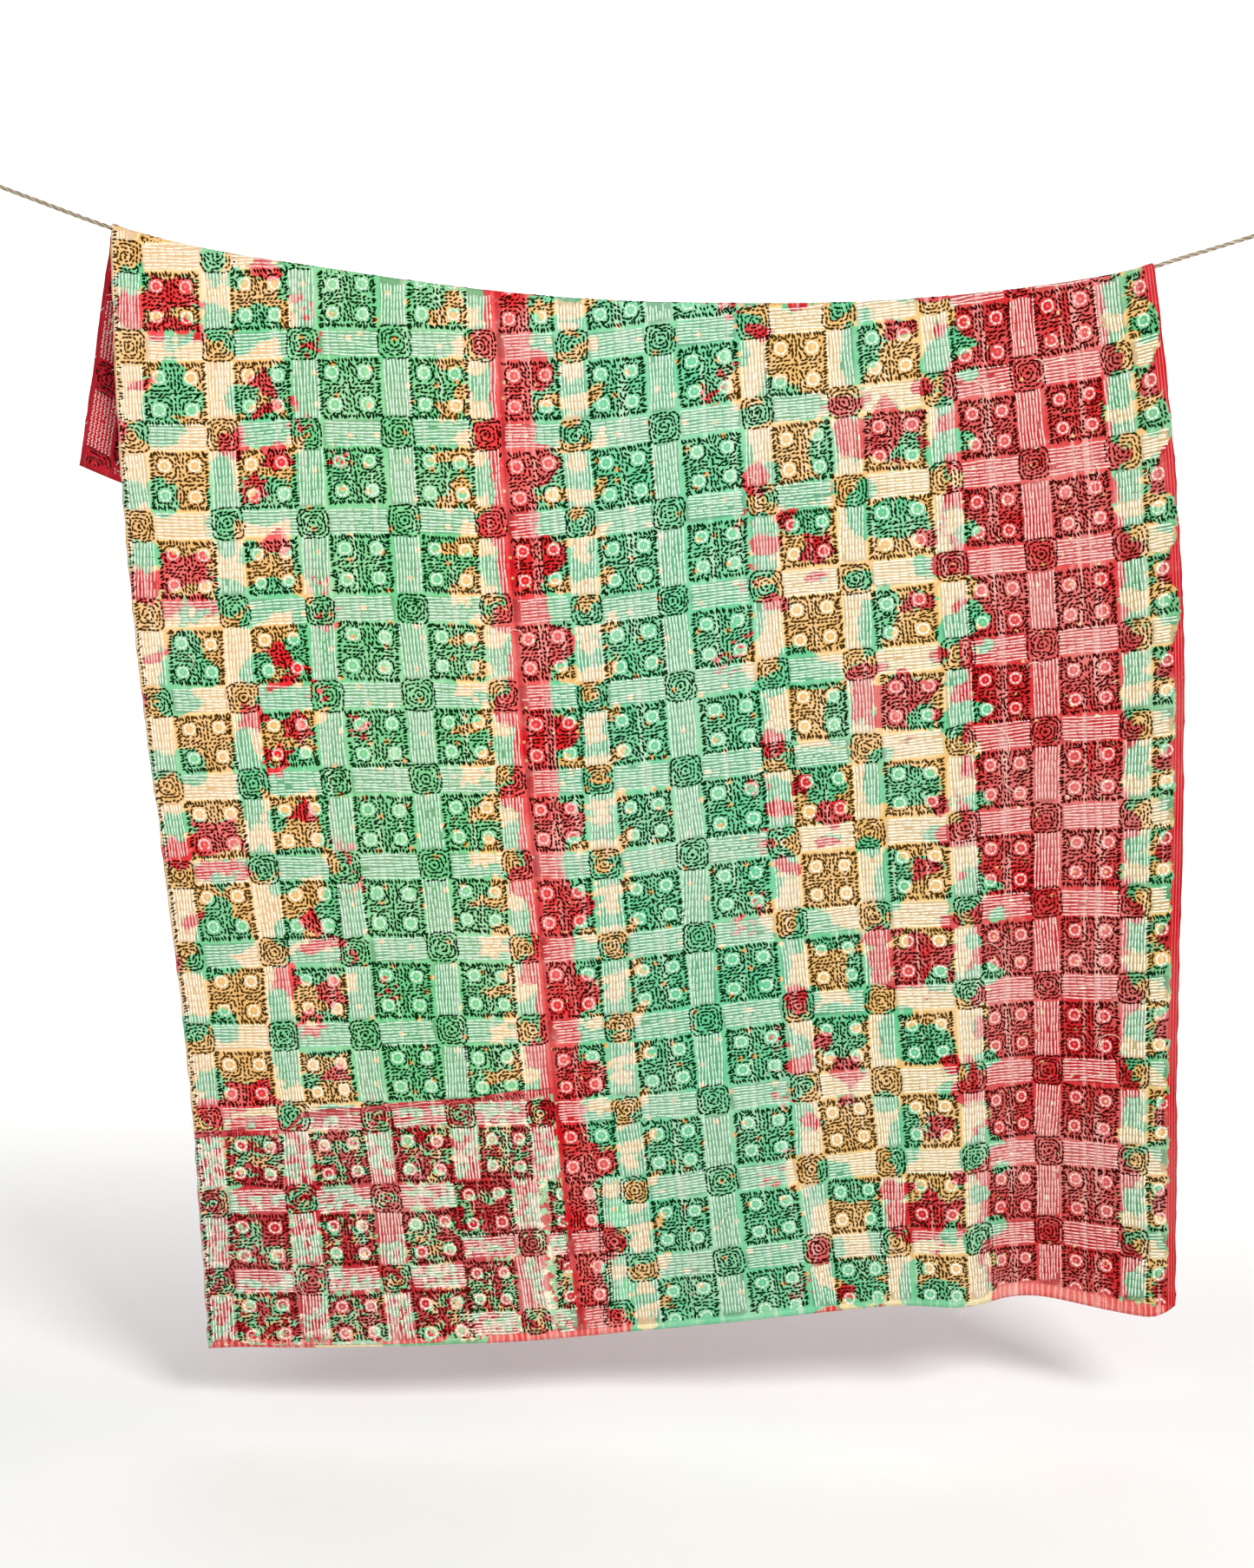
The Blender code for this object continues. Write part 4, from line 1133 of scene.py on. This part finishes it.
def make_patch(material):
    """The patch, its top edge turned under."""
    across = np.linspace(PATCH_LEFT, PATCH_RIGHT, PATCH_COLUMNS + 1)
    mesh, u, row = grid_mesh("patch_sheet", across, PATCH_ROWS + 1)
    share = row / PATCH_ROWS
    top = patch_top(u) + 0.02 * value_noise(u * 3.0, u * 0.0, 51)
    hem = np.interp(u, *PATCH_HEM)
    v = hem + (top - hem) * share
    u = ragged(u, v, PATCH_LEFT, NO_RIGHT_EDGE)
    turned = 0.0005 * np.exp(-((patch_top(u) - v - 0.05) / 0.04) ** 2)
    finish_cloth(mesh, u, v, PATCH_LIFT + puff(u, v) + turned, patch_inks(u, v))
    piece = put("patch_sheet", mesh, material)
    thicken(piece, PATCH_THICKNESS, 1.0)
    return piece


# Running stitch
# Templates give the stitches of one figure in hundredths of a cell from its middle. Each stitch is a
# row of start, end, width, thread kind (0 dark, 1 pale) and ends (0 pointed, 1 flat)
UNITS_A_CELL = 100.0
VARIANTS = 6

# Half sizes of a crossing's rings
CROSSING_RINGS = (16.8, 13.1, 9.4, 5.7, 2.0)

# Rows of a bar: how many, place of the first, gap and half length
BAR_ROWS = 8
BAR_FIRST = -12.7
BAR_GAP = 3.63
BAR_REACH = 32.0

# A block from its middle: its coils, the ring round each, the frame they stand in, and the comb
COIL_PLACE = 17.2
COIL_RING = 9.5
FRAME_INNER = 4.1
FRAME_OUTER = 27.5
COMB_INNER = 27.2
COMB_OUTER = 34.0

# Widths of dark stitches in crossings and blocks, and how much they lap over the next one
DARK_WIDTH = 3.5
DARK_WIDTH_BLOCK = 3.6
DARK_LAP = 1.14

# Heights of the stitches' ridges over the cloth, and how far their undersides sink in
GRAIN_RIDGE = 0.00085
BAR_RIDGE = 0.00060
SINK = 0.00030

# Triangles of a pointed grain with four points, and of a bar of thread with six
GRAIN_FACES = ((0, 1, 2), (1, 0, 3), (0, 2, 3), (1, 3, 2))
BAR_FACES = (
    (0, 2, 1), (3, 4, 5), (0, 1, 3), (1, 4, 3), (1, 2, 4), (2, 5, 4), (0, 3, 2), (3, 5, 2),
)


def stitches_along(points, pitch, length, width, kind, phase, flat=0.0):
    """Stitches at equal steps along a line."""
    points = np.array(points, dtype=float)
    along = distances(points)
    count = max(1, int(round(along[-1] / pitch)))
    step = along[-1] / count
    starts = (np.arange(count) + phase % 1.0) * step - length / 2
    starts = np.clip(starts, 0.0, along[-1] - length)
    rows = []
    for start in starts:
        line = []
        for place in (start, start + length):
            line += [np.interp(place, along, points[:, 0]), np.interp(place, along, points[:, 1])]
        rows.append(line + [width, kind, flat])
    return rows


def rounded_square(x, y, half, power, start):
    """Closed ring, squarer with more power, from a start angle."""
    angles = start + np.linspace(0.0, 2.0 * math.pi, 49)
    c = np.cos(angles)
    s = np.sin(angles)
    size = half / (np.abs(c) ** power + np.abs(s) ** power) ** (1.0 / power)
    return np.stack([x + size * c, y + size * s], axis=1)


def crossing_template(dice, coarse):
    """Rings of dark thread, from the outer square in to a knot."""
    rows = []
    pitch = 8.4 if coarse else 4.9
    for half in CROSSING_RINGS:
        path = rounded_square(0.0, 0.0, half * dice.uniform(0.97, 1.03), 7.0, dice.uniform(0, 6))
        phase = dice.uniform(0.3, 0.7)
        rows += stitches_along(path, pitch, pitch * DARK_LAP, DARK_WIDTH, 0.0, phase)
    return np.array(rows)


def bar_template(dice):
    """Rows of pale thread side by side."""
    rows = []
    for number in range(BAR_ROWS):
        x = BAR_FIRST + BAR_GAP * number
        y = np.linspace(-BAR_REACH + dice.uniform(-1, 1), BAR_REACH + dice.uniform(-1, 1), 12)
        wave = x + 0.5 * np.sin(y / 9.0 + dice.uniform(0, 6))
        path = np.stack([wave, y], axis=1)
        rows += stitches_along(path, 9.6, 9.3, 2.55, 1.0, dice.uniform(0.3, 0.7), 1.0)
    return np.array(rows)


def zigzag_bar_template(dice, coarse):
    """The same bar on the reverse, where each row leans to and fro."""
    rows = []
    gap, period = (6.6, 6.4) if coarse else (3.9, 3.1)
    for x in np.arange(-12.4, 12.6, gap):
        count = int(64.0 / period)
        y = np.linspace(-31.5, 31.5, count + 1) + dice.uniform(-1.0, 1.0)
        aside = np.where(np.arange(count + 1) % 2 == 0, 1.0, -1.0) * (1.2 if coarse else 1.15)
        for i in range(count):
            rows.append([x + aside[i], y[i], x + aside[i + 1], y[i + 1], 2.9, 1.0, 0.0])
    return np.array(rows)


# Rings of a pale coil by half size, pitch, width and ends
FINE_COIL = ((5.9, 5.0, 4.0, 1.0), (0.9, 3.0, 2.2, 0.0))
COARSE_COIL = ((5.4, 4.2, 2.7, 0.0),)


def block_template(dice, coarse):
    """Four pale coils in squares of dark thread, with a comb of dark stitches round the outside."""
    rows = []
    pitch = 8.6 if coarse else 4.9
    length = pitch * DARK_LAP
    for side_x in (-1, 1):
        for side_y in (-1, 1):
            x = side_x * COIL_PLACE + dice.uniform(-0.6, 0.6)
            y = side_y * COIL_PLACE + dice.uniform(-0.6, 0.6)
            pale = dice.uniform(0.94, 1.0)
            for half, step, width, flat in COARSE_COIL if coarse else FINE_COIL:
                path = rounded_square(x, y, half, 2.5, dice.uniform(0, 6))
                phase = dice.uniform(0.3, 0.7)
                rows += stitches_along(path, step, 0.86 * step, width, pale, phase, flat)
            inner = (side_x * FRAME_INNER, side_y * FRAME_INNER)
            paths = (
                rounded_square(x, y, COIL_RING, 6.0, dice.uniform(0, 6)),
                (inner, (inner[0], side_y * FRAME_OUTER)), (inner, (side_x * FRAME_OUTER, inner[1])),
            )
            for path in paths:
                phase = dice.uniform(0.3, 0.7)
                rows += stitches_along(path, pitch, length, DARK_WIDTH_BLOCK, 0.0, phase)
    if not coarse:
        for path in (((0.0, -28.0), (0.0, 28.0)), ((-28.0, 0.0), (28.0, 0.0))):
            rows += stitches_along(path, pitch, length, DARK_WIDTH, 0.0, dice.uniform(0.3, 0.7))
    for side in (-1, 1):
        for place in np.arange(-32.0, 32.5, 6.4 if coarse else 3.4):
            near = side * (COMB_INNER + dice.uniform(-0.8, 0.8))
            far = side * (COMB_OUTER + dice.uniform(-0.9, 0.9))
            lean = dice.uniform(-0.8, 0.8)
            rows.append([place, near, place + lean, far, DARK_WIDTH, 0.0, 0.0])
            rows.append([near, place, far, place + lean, DARK_WIDTH, 0.0, 0.0])
    return np.array(rows)


def turned_template(rows, turn):
    """The same stitches turned about the middle of their figure."""
    c = math.cos(turn)
    s = math.sin(turn)
    moved = rows.copy()
    for column in (0, 2):
        moved[:, column] = rows[:, column] * c - rows[:, column + 1] * s
        moved[:, column + 1] = rows[:, column] * s + rows[:, column + 1] * c
    return moved


def template_set(reverse, coarse):
    """Variants of each family of figures, for the face or the reverse."""
    variants = {"crossing": [], "bar": [], "block": []}
    for _ in range(VARIANTS):
        variants["crossing"].append(crossing_template(rng, coarse))
        variants["block"].append(block_template(rng, coarse))
        variants["bar"].append(zigzag_bar_template(rng, coarse) if reverse else bar_template(rng))
    return variants


def quilting_elements():
    """Kind, cells across and up, and stretch across of each figure of the quilting."""
    elements = []
    for i in ROW_NUMBERS:
        for k in range(-1, 17):
            spots = (("crossing", i, k), ("level", i + 0.5, k), ("upright", i, k + 0.5),
                     ("block", i + 0.5, k + 0.5))
            for kind, p, q in spots:
                if not in_stray_area(p, q):
                    u, v = cloth_places(p, q)
                    left, _ = cloth_places(p - 0.5, q)
                    right, _ = cloth_places(p + 0.5, q)
                    stretch = (right - left) if kind in ("level", "block") else 1.0
                    elements.append((kind, float(u), float(v), float(stretch)))
    elements += [(kind, u, v, 0.97) for kind, u, v in STRAY]
    return [row for row in elements if -0.6 < row[1] < WIDTH_CELLS + 0.6 and row[2] < 17.0]


def placed_figures(elements, templates_at):
    """Stitches of all figures in cells, and how much of the usual slant each takes."""
    found = []
    leans = []
    for kind, u, v, stretch in elements:
        family = "bar" if kind in ("level", "upright") else kind
        rows = templates_at(u, v)[family][rng.integers(VARIANTS)]
        turn = {"level": math.pi / 2, "upright": 0.0}.get(kind, 0.5 * math.pi * rng.integers(4))
        if family == "bar" and rng.random() < 0.5:
            turn += math.pi
        rows = turned_template(rows, turn + rng.normal(0.0, 0.03))
        size = np.clip(rng.normal(1.0, 0.03), 0.93, 1.07)
        shift = rng.normal(0.0, 0.9, 2)
        across = rows[:, [0, 2]] * size * (0.4 + 0.6 * stretch) + shift[0]
        rows[:, [0, 2]] = across / UNITS_A_CELL + u
        rows[:, [1, 3]] = (rows[:, [1, 3]] * size + shift[1]) / UNITS_A_CELL + v
        rows[:, 4] /= UNITS_A_CELL
        found.append(rows)
        leans.append(np.full(len(rows), 0.35 if family == "crossing" else 1.0))
    return np.concatenate(found), np.concatenate(leans)


def loosened(rows, leans):
    """The same stitches, uneven as a hand sews them. The dark ones slant."""
    count = len(rows)
    middle = (rows[:, 0:2] + rows[:, 2:4]) / 2
    reach = (rows[:, 2:4] - rows[:, 0:2]) / 2
    reach *= rng.uniform(0.86, 1.06, count)[:, None]
    dark = rows[:, 5:6] < 0.5
    slant = (rng.normal(0.28, 0.26, count) * leans)[:, None] * dark
    across = np.stack([-reach[:, 1], reach[:, 0]], axis=1)
    reach = reach * np.cos(slant) + across * np.sin(slant)
    reach += rng.normal(0.0, 0.005, (count, 2)) * dark
    middle += rng.normal(0.0, 0.0018, (count, 2)) * (1.0 + 2.2 * dark)
    rows[:, 0:2] = middle - reach
    rows[:, 2:4] = middle + reach
    rows[:, 4] *= rng.uniform(0.85, 1.12, count)
    return rows


def quilting_rows(elements, templates_at):
    """All stitches of the quilting that lie on the cloth, clear of its edges and its seam."""
    rows = loosened(*placed_figures(elements, templates_at))
    low = np.minimum(rows[:, 0], rows[:, 2])
    high = np.maximum(rows[:, 0], rows[:, 2])
    bottom = np.minimum(rows[:, 1], rows[:, 3])
    top = np.maximum(rows[:, 1], rows[:, 3])
    keep = (low > 0.05) & (high < strip_start(bottom)) & (bottom > hem_height(low))
    keep &= (top < cloth_total((low + high) / 2) - 0.06) & (rng.random(len(rows)) > 0.006)
    keep &= ~((low < SEAM_CELLS + 0.012) & (high > SEAM_CELLS - 0.012))
    return rows[keep]


def triangle_mesh(name, corners, faces):
    mesh = bpy.data.meshes.new(name)
    mesh.vertices.add(len(corners))
    mesh.vertices.foreach_set("co", corners.astype(np.float32).ravel())
    mesh.loops.add(faces.size)
    mesh.loops.foreach_set("vertex_index", faces.astype(np.int32).ravel())
    mesh.polygons.add(len(faces))
    mesh.polygons.foreach_set("loop_start", np.arange(0, faces.size, 3, dtype=np.int32))
    mesh.update(calc_edges=True)
    mesh.validate()
    return mesh


def stitch_mesh(name, rows, lift, side, ink_function):
    """Closed grains, one a stitch, that lie on the cloth. The pale rows have flat ends."""
    start, _ = surface(rows[:, 0], rows[:, 1], lift(rows[:, 0], rows[:, 1]))
    end, _ = surface(rows[:, 2], rows[:, 3], lift(rows[:, 2], rows[:, 3]))
    u = (rows[:, 0] + rows[:, 2]) / 2
    v = (rows[:, 1] + rows[:, 3]) / 2
    middle, normal = surface(u, v, lift(u, v))
    normal = normal * side
    along = end - start
    aside = np.cross(normal, along)
    aside = aside / np.linalg.norm(aside, axis=1, keepdims=True)
    wide = aside * (rows[:, 4] * CELL / 2)[:, None]
    ridge = normal * GRAIN_RIDGE
    low_ridge = normal * BAR_RIDGE
    sunk = normal * SINK
    flat = rows[:, 6] > 0.5
    grains = np.stack(
        [start + ridge, end + ridge, middle + wide - sunk, middle - wide - sunk], axis=1,
    )[~flat]
    bars = np.stack(
        [start - wide - sunk, start + wide - sunk, start + low_ridge,
         end - wide - sunk, end + wide - sunk, end + low_ridge], axis=1,
    )[flat]
    grain_faces = np.arange(len(grains))[:, None, None] * 4 + np.array(GRAIN_FACES)
    bar_faces = 4 * len(grains) + np.arange(len(bars))[:, None, None] * 6 + np.array(BAR_FACES)
    mesh = triangle_mesh(
        name, np.concatenate([grains.reshape(-1, 3), bars.reshape(-1, 3)]),
        np.concatenate([grain_faces.reshape(-1, 3), bar_faces.reshape(-1, 3)]),
    )

    def spread(values):
        """Values of the stitches, for each point of their grains and bars."""
        at_grains = np.repeat(values[~flat], 4, axis=0)
        return np.concatenate([at_grains, np.repeat(values[flat], 6, axis=0)])

    add_vectors(mesh, "place", spread(paired(u, v)))
    add_vectors(mesh, "thread", spread(paired(rows[:, 5], rng.random(len(rows)))))
    if ink_function is not None:
        add_vectors(mesh, "inks", spread(ink_function(u, v)))
    return mesh


def face_top(u, v):
    """Lift from the middle of the quilt to the top of the face."""
    return GAP / 2 + CLOTH_THICKNESS + puff(u, v)


def patch_top_lift(u, v):
    """Lift from the middle of the quilt to the top of the patch."""
    return PATCH_LIFT + PATCH_THICKNESS + puff(u, v)


def backing_bottom(u, v):
    """Lift from the middle of the quilt to the outside of the backing."""
    return np.full(np.shape(u), -GAP / 2 - CLOTH_THICKNESS)


def overcast_rows():
    """Short dark stitches over the left edge, from hem to hem."""
    rows = []
    for v in np.arange(0.12, float(cloth_total(0.1)) - 0.1, 0.040):
        start = rng.uniform(0.014, 0.034)
        reach = rng.uniform(0.02, 0.08)
        rows.append([start, v, start + reach, v + rng.uniform(-0.03, 0.05), 0.032, 0.0, 0.0])
    return np.array(rows)


def make_face_stitches(material, patch_material):
    """The quilting that shows on the face, one piece for each cloth and one behind the rope."""
    templates = template_set(False, False)
    rows = quilting_rows(quilting_elements(), lambda u, v: templates)
    rows = np.concatenate([rows, overcast_rows()])
    u = (rows[:, 0] + rows[:, 2]) / 2
    v = (rows[:, 1] + rows[:, 3]) / 2
    on_patch = (u < PATCH_RIGHT) & (v < patch_top(u))
    left = (u < SEAM_CELLS) & ~on_patch
    over = v > lines["drop_cells"](u)
    groups = (
        ("stitches_left", left, face_top, inks, material, "face_print"),
        ("stitches_right", ~left & ~on_patch & ~over, face_top, inks, material, "face_print"),
        ("stitches_flap", ~left & ~on_patch & over, face_top, inks, material, "face_print"),
        ("stitches_patch", on_patch, patch_top_lift, patch_inks, patch_material, "patch_print"),
    )
    pieces = {}
    for name, chosen, lift, ink_function, thread, slot in groups:
        mesh = stitch_mesh(name, rows[chosen], lift, 1.0, ink_function)
        pieces[name] = put(name, mesh, thread)
    return pieces


# Cells across to which the flap shows its reverse from the front
FINE_CORNER = 2.3


def make_reverse_stitches(material):
    """The quilting as it shows on the backing, close on the corner of the flap that is seen."""
    fine = template_set(True, False)
    coarse = template_set(True, True)

    def templates_at(u, v):
        on_flap = v > lines["drop_cells"](u) + 0.2
        return fine if u < FINE_CORNER and on_flap else coarse

    rows = quilting_rows(quilting_elements(), templates_at)
    mesh = stitch_mesh("stitches_reverse", rows, backing_bottom, -1.0, None)
    return put("stitches_reverse", mesh, material)


# Loose threads
# Ends on the face by cells across and up, direction, length in metres and curl
LOOSE_ENDS = (
    (9.70, 6.55, 70, 0.075, 2.2), (9.95, 6.20, 200, 0.060, -2.6), (10.25, 10.75, 30, 0.045, 2.8),
    (9.55, 10.85, -20, 0.040, -2.4), (10.80, 9.60, 60, 0.035, 2.6), (10.60, 9.90, 80, 0.030, -2.2),
    (9.60, 4.20, 100, 0.060, 2.4), (10.70, 3.15, 75, 0.055, -2.8), (10.15, 7.55, 110, 0.035, 2.5),
    (8.40, 2.20, 20, 0.050, -2.0), (7.55, 4.70, 150, 0.040, 2.4), (6.70, 3.00, 45, 0.045, -2.6),
    (6.20, 1.40, 200, 0.040, 2.2), (4.95, 5.70, 170, 0.035, -2.4), (4.40, 8.50, 100, 0.035, 2.6),
    (3.10, 1.60, 40, 0.045, 2.4), (1.10, 0.70, 120, 0.040, -2.6), (2.20, 2.30, 10, 0.045, 2.2),
    (3.90, 0.80, 80, 0.040, -2.2), (5.60, 0.60, 250, 0.035, 1.8), (8.10, 0.50, 60, 0.045, 2.6),
    (9.20, 0.45, 130, 0.050, -2.6), (11.30, 8.80, 300, 0.035, 2.2), (11.35, 9.70, 280, 0.030, -2.0),
    (0.60, 8.20, 40, 0.030, 2.4), (1.70, 10.10, 160, 0.030, -2.4), (7.10, 9.90, 70, 0.030, 2.2),
)
THREAD_RADIUS = 0.0005
FRAY_RADIUS = 0.00028

# Places of the fray by cells across, lowest and highest cells up, and count
FRAYS = ((0.03, 0.2, 12.9, 95), (0.03, 13.4, 15.7, 34), (11.60, 0.2, 11.0, 22))

# Loops on the flap's left edge by cells up and size
FLAP_LOOPS = ((14.05, 0.011), (14.62, 0.006), (15.35, 0.008))


def thread_curve(name, radius=THREAD_RADIUS):
    data = bpy.data.curves.new(name, "CURVE")
    data.dimensions = "3D"
    data.bevel_depth = radius
    data.bevel_resolution = 0
    data.use_fill_caps = True
    return data


def make_loose_ends(material):
    """Curled ends of pale thread on the face."""
    ends = thread_curve("loose_ends")
    for u, v, heading, length, curl in LOOSE_ENDS:
        count = 14
        share = np.linspace(0.0, 1.0, count)
        turn = math.radians(heading) + curl * share ** 1.3
        step = length / CELL / (count - 1)
        path_u = np.clip(u + np.concatenate([[0.0], np.cumsum(np.cos(turn[:-1]) * step)]), 0.1, 11.5)
        path_v = np.maximum(v + np.concatenate([[0.0], np.cumsum(np.sin(turn[:-1]) * step)]), 0.12)
        on_patch = (path_u < SEAM_CELLS) & (path_v < patch_top(path_u) + 0.1)
        lift = np.where(on_patch, patch_top_lift(path_u, path_v), face_top(path_u, path_v))
        rise = 0.0006 + 0.0035 * np.sin(share * math.pi) ** 2
        points, _ = surface(path_u, path_v, lift + rise)
        add_line(ends, points)
    return put("loose_ends", curve_mesh(ends), material)


def make_fray(material):
    """Fine fray of the side edges."""
    fray = thread_curve("edge_fray", FRAY_RADIUS)
    places = []
    for across, low, high, count in FRAYS:
        places += [(across, v) for v in rng.uniform(low, high, count)]
    for u, v in places:
        base, normal = surface(np.array([u]), np.array([v]), np.array([0.0004]))
        out = -1.0 if u < 1.0 else 1.0
        beyond, _ = surface(np.array([u + 0.02]), np.array([v]), np.array([0.0004]))
        across = (beyond - base)[0]
        across = across / np.linalg.norm(across) * out
        length = rng.uniform(0.003, 0.013)
        share = np.linspace(0.0, 1.0, 5)[:, None]
        fall = np.array([0.0, 0.0, -1.0]) * rng.uniform(0.1, 1.1)
        bend = normal[0] * rng.uniform(-0.5, 0.5)
        add_line(fray, base[0] + share * length * across + share ** 2 * length * (fall + bend) * 0.6)
    return put("edge_fray", curve_mesh(fray), material)


def make_flap_loops(material):
    """Loops of thread that stand out from the flap's left edge."""
    loops = thread_curve("flap_loops")
    for v, size in FLAP_LOOPS:
        base, _ = surface(np.array([0.02]), np.array([v]), np.array([0.0]))
        angle = np.linspace(-0.4 * math.pi, 1.3 * math.pi, 16)
        x = base[0, 0] - size * (0.75 + np.sin(angle) * 0.9)
        z = base[0, 2] + size * np.cos(angle) * 1.3
        add_line(loops, np.stack([x, base[0, 1] + 0.002 * np.cos(angle), z], axis=1))
    return put("flap_loops", curve_mesh(loops), material)


def make_hanging_end(material):
    """One end of thread that hangs below the hem."""
    hanging = thread_curve("hanging_end")
    share = np.linspace(0.0, 1.0, 10)
    start, _ = surface(np.array([8.92]), np.array([0.06]), np.array([0.0016]))
    x = start[0, 0] + 0.004 * np.sin(share * 5.0)
    y = np.full_like(x, start[0, 1] - 0.001)
    add_line(hanging, np.stack([x, y, start[0, 2] + 0.004 - 0.030 * share], axis=1))
    return put("hanging_end", curve_mesh(hanging), material)


def loose_cotton():
    """Soft undyed thread."""
    finish = Finish("loose cotton ends")
    place = finish.node("ShaderNodeTexCoord").outputs["Object"]
    tone = finish.noise(place, 30.0, 2.0)
    colour = finish.mix(finish.steps(tone, 0.4, 0.6), paint(250, 240, 222), paint(226, 200, 176))
    return finish.done(colour, finish.steps(tone, 0.3, 0.7, 0.6, 0.8), Sheen_Weight=0.3)


# Floor and light
FLOOR_FRONT = -7.0
FLOOR_BACK = 5.0
WALL_TOP = 7.0
STAGE_LEFT = -9.0
STAGE_WIDTH = 20.0


def make_stage():
    """Pale floor that turns up into a wall behind the quilt."""
    bm = bmesh.new()
    profile = [(FLOOR_FRONT, FLOOR_HEIGHT), (FLOOR_BACK, FLOOR_HEIGHT)]
    for angle in np.linspace(0.0, math.pi / 2, 13)[1:]:
        y = FLOOR_BACK + WALL_CURVE * math.sin(angle)
        profile.append((y, FLOOR_HEIGHT + WALL_CURVE * (1.0 - math.cos(angle))))
    profile.append((FLOOR_BACK + WALL_CURVE, WALL_TOP))
    verts = [bm.verts.new((STAGE_LEFT, y, z)) for y, z in profile]
    edges = [bm.edges.new(pair) for pair in zip(verts, verts[1:])]
    made = bmesh.ops.extrude_edge_only(bm, edges=edges)
    moved = [item for item in made["geom"] if isinstance(item, bmesh.types.BMVert)]
    bmesh.ops.translate(bm, verts=moved, vec=(STAGE_WIDTH, 0.0, 0.0))
    bmesh.ops.recalc_face_normals(bm, faces=bm.faces[:])
    mesh = bpy.data.meshes.new("studio floor")
    bm.to_mesh(mesh)
    bm.free()
    mesh.materials.append(pale_plaster("pale studio floor", (252, 252, 251)))
    mesh.shade_smooth()
    floor = bpy.data.objects.new("studio_floor", mesh)
    bpy.context.scene.collection.objects.link(floor)


def area_light(name, place, target, size, power, tone=(1.0, 1.0, 1.0)):
    data = bpy.data.lights.new(name, "AREA")
    data.shape = "SQUARE"
    data.size = size
    data.energy = power
    data.color = tone
    lamp = bpy.data.objects.new(name, data)
    lamp.location = place
    lamp.rotation_euler = (Vector(target) - Vector(place)).to_track_quat("-Z", "Y").to_euler()
    bpy.context.scene.collection.objects.link(lamp)


def make_light():
    world = bpy.data.worlds.new("studio")
    bpy.context.scene.world = world
    world.use_nodes = True
    sky = world.node_tree.nodes["Background"]
    sky.inputs["Color"].default_value = (0.97, 0.98, 1.0, 1.0)
    sky.inputs["Strength"].default_value = 0.26
    area_light("key", (3.3, -3.7, 2.1), (0.9, 0.0, -0.9), 1.8, 216.0, (1.0, 0.985, 0.97))
    area_light("fill", (-1.5, -3.5, 0.8), (1.1, 0.0, -1.0), 2.4, 63.0)
    area_light("wall wash", (1.0, 1.8, 3.4), (1.0, 7.0, 1.6), 4.0, 480.0)
    area_light("near floor", (1.0, -2.7, 0.7), (1.0, -2.4, -1.9), 1.6, 9.0)


# Assembly
make_camera()
make_stage()
make_light()
bpy.context.scene.view_settings.view_transform = "Standard"

rope_material = rope_fibre()
make_rope(rope_material)
make_hitches(rope_material)
steel = eye_steel()
for eye in ("wall_eye_left", "wall_eye_right"):
    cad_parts[eye].material_slots[0].material = steel

face_material = printed_cloth("block printed cotton", PRINT_INKS, PRINT_MOTTLE)
patch_material = printed_cloth("mottled patch cotton", PATCH_INKS, PATCH_MOTTLE)
thread_material = running_thread("face running thread", PRINT_DARKS, PRINT_PALES, PRINT_MOTTLE)
patch_thread = running_thread("patch running thread", PATCH_DARKS, PATCH_PALES, PATCH_MOTTLE)

face_left = make_face("face_left", 0.0, SEAM_CELLS - GAP / 2 / CELL, 84, face_material)
face_right = make_face("face_right", SEAM_CELLS + GAP / 2 / CELL, WIDTH_CELLS, 108, face_material)
backing = make_backing(backing_cotton())
patch = make_patch(patch_material)
stitches = make_face_stitches(thread_material, patch_thread)
reverse = make_reverse_stitches(reverse_thread())
loose_thread = loose_cotton()
loose_ends = make_loose_ends(loose_thread)
edge_fray = make_fray(loose_thread)
flap_loops = make_flap_loops(loose_thread)
hanging_end = make_hanging_end(loose_thread)

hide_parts("face_cloth_left")
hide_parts("face_cloth_right")
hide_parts("backing_cloth")
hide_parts("mending_patch")
